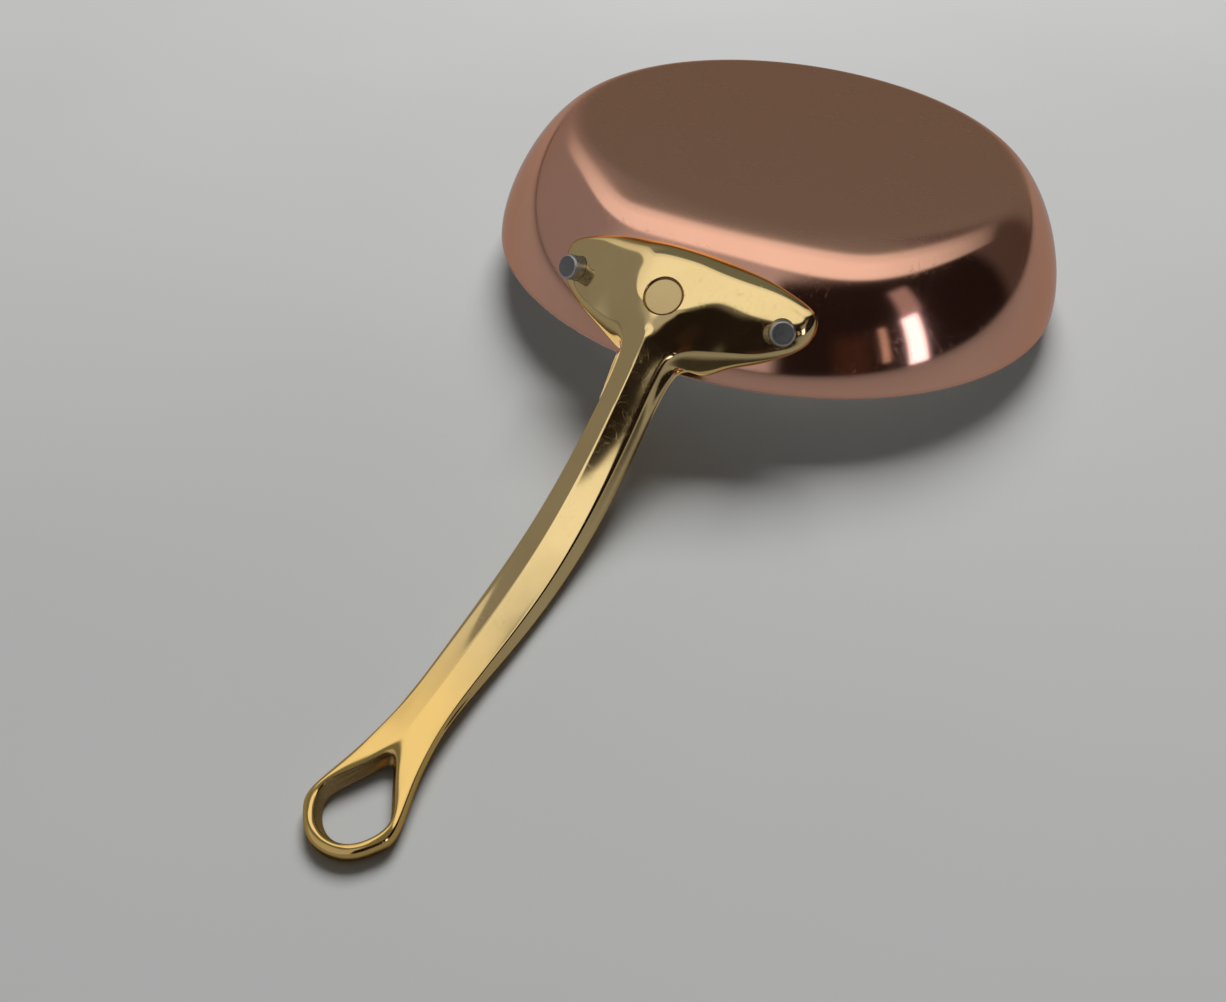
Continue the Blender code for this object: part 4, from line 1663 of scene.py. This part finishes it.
@dataclass(frozen=True)
class Stage:
    """The table that the upside-down pan lies on, and a floor for views of the upright pan.

    Each is seen from one side only, and lets the other's light through.
    """

    touch: Vector = Vector((-0.1, 0.0, 0.0427))  # the far rim, which lies on the table
    room_up: Vector = TABLE_UP
    reach: float = 3.0
    mirror_radius: float = 0.1
    table_colour: tuple = (0.55, 0.555, 0.545, 1.0)
    floor_colour: tuple = (0.75, 0.75, 0.74, 1.0)
    low_angle: float = 0.73
    table_end: float = 0.38
    floor_fade: tuple = (0.35, 0.95, 0.0, 1.0)
    # how bright the table stays in metal's reflections: a painted shade
    mirror_shade_share: float = 0.62
    cloud_density: float = 3.0
    cloud_layers: float = 3.0
    cloud_span: tuple = (0.3, 0.7, 0.97, 1.03)
    roughness: float = 0.32

    def card(self, name: str, place: Vector, facing: Vector) -> bpy.types.Object:
        """Build a flat card.

        Args:
            name: The card's name.
            place: A point on it.
            facing: The side that it shows.

        Returns:
            The card.
        """
        shape = bmesh.new()
        bmesh.ops.create_grid(shape, x_segments=1, y_segments=1, size=self.reach)
        item = add_shape(name, shape)
        place_in_mesh(item, turned_to(place, facing))
        item.visible_shadow = item.visible_diffuse = False
        return item

    def material(self, name: str, colour: tuple, mirrored: bool) -> bpy.types.Material:
        """Build the material of a card.

        Args:
            name: The material's name.
            colour: Its colour.
            mirrored: Whether metal reflects the card, outside the pan, where painted shade makes
                it darker than the camera sees it.

        Returns:
            The material.
        """
        material, kit, shader = open_material(name)
        place = kit.add("ShaderNodeTexCoord").outputs["Object"]
        path = kit.add("ShaderNodeLightPath").outputs
        hidden = kit.add("ShaderNodeNewGeometry").outputs["Backfacing"]
        along, across, _ = kit.split(place)
        away = kit.vector("LENGTH", kit.join(along, across)).outputs["Value"]
        shade = kit.ramp(kit.noise(place, self.cloud_density, self.cloud_layers),
                         *self.cloud_span)
        if mirrored:
            facing = kit.add("ShaderNodeLayerWeight").outputs["Facing"]
            unseen = kit.math("MAXIMUM", kit.math("GREATER_THAN", facing, self.low_angle),
                              kit.math("GREATER_THAN", along, self.table_end))
            # painted shade: glossy rays see the table darker than camera rays do, so metal
            # reflects a dimmed table
            mirror_shade = kit.ramp(path["Is Glossy Ray"], 0.0, 1.0, 1.0, self.mirror_shade_share)
            shade = kit.math("MULTIPLY", shade, mirror_shade)
            under = kit.math("LESS_THAN", away, self.mirror_radius)
            hidden = kit.math("MAXIMUM", hidden,
                              kit.math("MULTIPLY", under, path["Is Glossy Ray"]))
        else:
            unseen = kit.ramp(away, *self.floor_fade)
        hidden = kit.math("MAXIMUM", hidden,
                          kit.math("MULTIPLY", unseen, path["Is Camera Ray"]))
        scaled = kit.vector("SCALE", colour[:3])
        kit.feed(scaled.inputs["Scale"], shade)
        kit.feed(shader.inputs["Base Color"], scaled.outputs[0])
        shader.inputs["Roughness"].default_value = self.roughness
        shader.inputs["Specular IOR Level"].default_value = 0.0
        clear = kit.add("ShaderNodeBsdfTransparent")
        kit.show_blend(hidden, shader.outputs[0], clear.outputs[0])
        return material

    def build(self) -> None:
        """Build the table and the floor."""
        table = self.card("table", self.touch, self.room_up)
        table.data.materials.append(self.material("Table top", self.table_colour, True))
        floor = self.card("floor", Vector((0.0, 0.0, 0.0)), Vector((0.0, 0.0, 1.0)))
        floor.data.materials.append(self.material("Floor", self.floor_colour, False))
        floor.visible_glossy = False


class StripKnot(NamedTuple):
    """A point on the strip light's middle line, and how bright the strip is there."""

    x: float
    y: float
    glow: float


@dataclass(frozen=True)
class StripLight:
    """A long light that bends round the table's near side, and shows in polished metal only."""

    height: float = -0.19
    knots: tuple = (
        StripKnot(-0.30, 0.54, 0.0), StripKnot(-0.235, 0.48, 0.2), StripKnot(-0.14, 0.405, 0.36),
        StripKnot(-0.05, 0.345, 0.52), StripKnot(0.04, 0.31, 0.66), StripKnot(0.11, 0.28, 0.8),
        StripKnot(0.155, 0.23, 0.88), StripKnot(0.168, 0.16, 0.95), StripKnot(0.168, 0.0, 1.05),
        StripKnot(0.168, -0.07, 1.05), StripKnot(0.16, -0.13, 1.04),
        StripKnot(0.139, -0.18, 1.0), StripKnot(0.105, -0.218, 0.95),
        StripKnot(0.055, -0.247, 0.84), StripKnot(-0.01, -0.268, 0.7),
        StripKnot(-0.08, -0.285, 0.5), StripKnot(-0.15, -0.30, 0.32),
        StripKnot(-0.21, -0.315, 0.18), StripKnot(-0.28, -0.335, 0.0),
    )
    steps: int = 6
    profile: tuple = ((-0.085, 0.0), (-0.072, 0.74), (-0.045, 0.86), (-0.03, 1.0), (0.038, 1.0),
                      (0.052, 0.0))
    colour: tuple = (1.0, 0.985, 0.92, 1.0)

    def smooth_line(self) -> list:
        """Run a smooth line through the knots.

        Returns:
            The line's knots, which lie close together.
        """
        ends = (self.knots[0], *self.knots, self.knots[-1])
        line = []
        for before, first, second, after in zip(ends, ends[1:], ends[2:], ends[3:]):
            for step in range(self.steps):
                share = step / self.steps
                line.append(StripKnot(*(
                    (2 * b + (c - a) * share + (2 * a - 5 * b + 4 * c - d) * share**2
                     + (3 * b - a - 3 * c + d) * share**3) / 2
                    for a, b, c, d in zip(before, first, second, after))))
        return [*line, self.knots[-1]]

    def build(self) -> None:
        """Build the light as a glowing card with soft edges."""
        line = self.smooth_line()
        places = [Vector((knot.x, knot.y, self.height)) for knot in line]
        shape = bmesh.new()
        glow = shape.verts.layers.float.new("glow")
        rows = []
        for at, (place, knot) in enumerate(zip(places, line)):
            course = places[min(at + 1, len(places) - 1)] - places[max(at - 1, 0)]
            outward = Vector((-course.y, course.x, 0.0)).normalized()
            row = []
            for offset, share in self.profile:
                corner = shape.verts.new(place + offset * outward)
                corner[glow] = share * knot.glow
                row.append(corner)
            rows.append(row)
        for low, high in zip(rows, rows[1:]):
            for first, second, third, fourth in zip(low, low[1:], high[1:], high):
                shape.faces.new((first, second, third, fourth))
        item = add_shape("strip_light", shape)
        item.data.materials.append(self.material())
        item.visible_camera = item.visible_diffuse = item.visible_shadow = False
        item.visible_transmission = item.visible_volume_scatter = False

    def material(self) -> bpy.types.Material:
        """Build the glowing material, which is clear where it doesn't glow.

        Returns:
            The material.
        """
        material, kit, shader = open_material("Strip light")
        kit.tree.nodes.remove(shader)
        glow = kit.add("ShaderNodeAttribute", attribute_name="glow").outputs["Fac"]
        lamp = kit.add("ShaderNodeEmission", named={"Color": self.colour, "Strength": 1.0})
        clear = kit.add("ShaderNodeBsdfTransparent")
        kit.show_blend(glow, clear.outputs[0], lamp.outputs[0])
        material.cycles.emission_sampling = "NONE"
        return material


LAMPS = (
    Lamp("overhead_lamp", Vector((-0.62, 0.3, -1.4)), Vector((0.7, -0.27, 1.45)), (0.9, 0.9),
         10.4),
    Lamp("upright_lamp", Vector((0.1, -0.2, 0.9)), Vector((0.0, 0.2, -0.9)), (0.8, 0.8), 2.6,
         bounces=0),
)


def hand_over(item: bpy.types.Object, node: str) -> None:
    """Tell the frame what a piece stands for, and report it.

    Args:
        item: The piece.
        node: The CAD node that it replaces.
    """
    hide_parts(node)
    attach(item, BODY)
    LOG.info("%s: %d faces, stands for %s", item.name, len(item.data.polygons), node)


def main() -> None:
    """Build the pan's pieces, its stage and its camera in order, and report each piece."""
    logging.basicConfig(level=logging.INFO, format="%(name)s: %(message)s")
    bpy.context.scene.view_settings.view_transform = "Standard"
    wall = WallCurve()
    turning = Turning()
    rivet = Rivet(wall)
    body = PanBody(wall)
    handle = CastHandle(wall)
    effects = Effects()
    copper, brass, steel, rivet_steel = (
        finish.build(effects) for finish in (COPPER, CAST_BRASS, LINING_STEEL, RIVET_STEEL))

    bores = [rivet.cutter(turning, side) for side in Side]
    trim = body.outside_cutter(turning, rivet.bore_gap, handle.bulge_height)
    disc = handle.disc_cutter(turning)
    shell = body.build_shell(turning, copper)
    lining = body.build_lining(turning, steel)
    grip = handle.build([trim, disc, *bores], brass)
    for item in (shell, lining):
        cut_away(item, bores)
    for cutter in (*bores, trim, disc):
        bpy.data.objects.remove(cutter, do_unlink=True)
    body.paint_shell(shell)
    handle.paint_handle(grip, shell)
    hand_over(shell, "copper_shell")
    hand_over(lining, "lining")
    hand_over(grip, "handle")
    for side in Side:
        stub = rivet.build(turning, side, body.lining_depth, rivet.bore_gap, rivet_steel)
        hand_over(stub, "rivet_" + side.name.lower())
    PhotoCamera().build()
    Room().build()
    Stage().build()
    StripLight().build()
    for lamp in LAMPS:
        lamp.build()


if __name__ == "__main__":
    main()
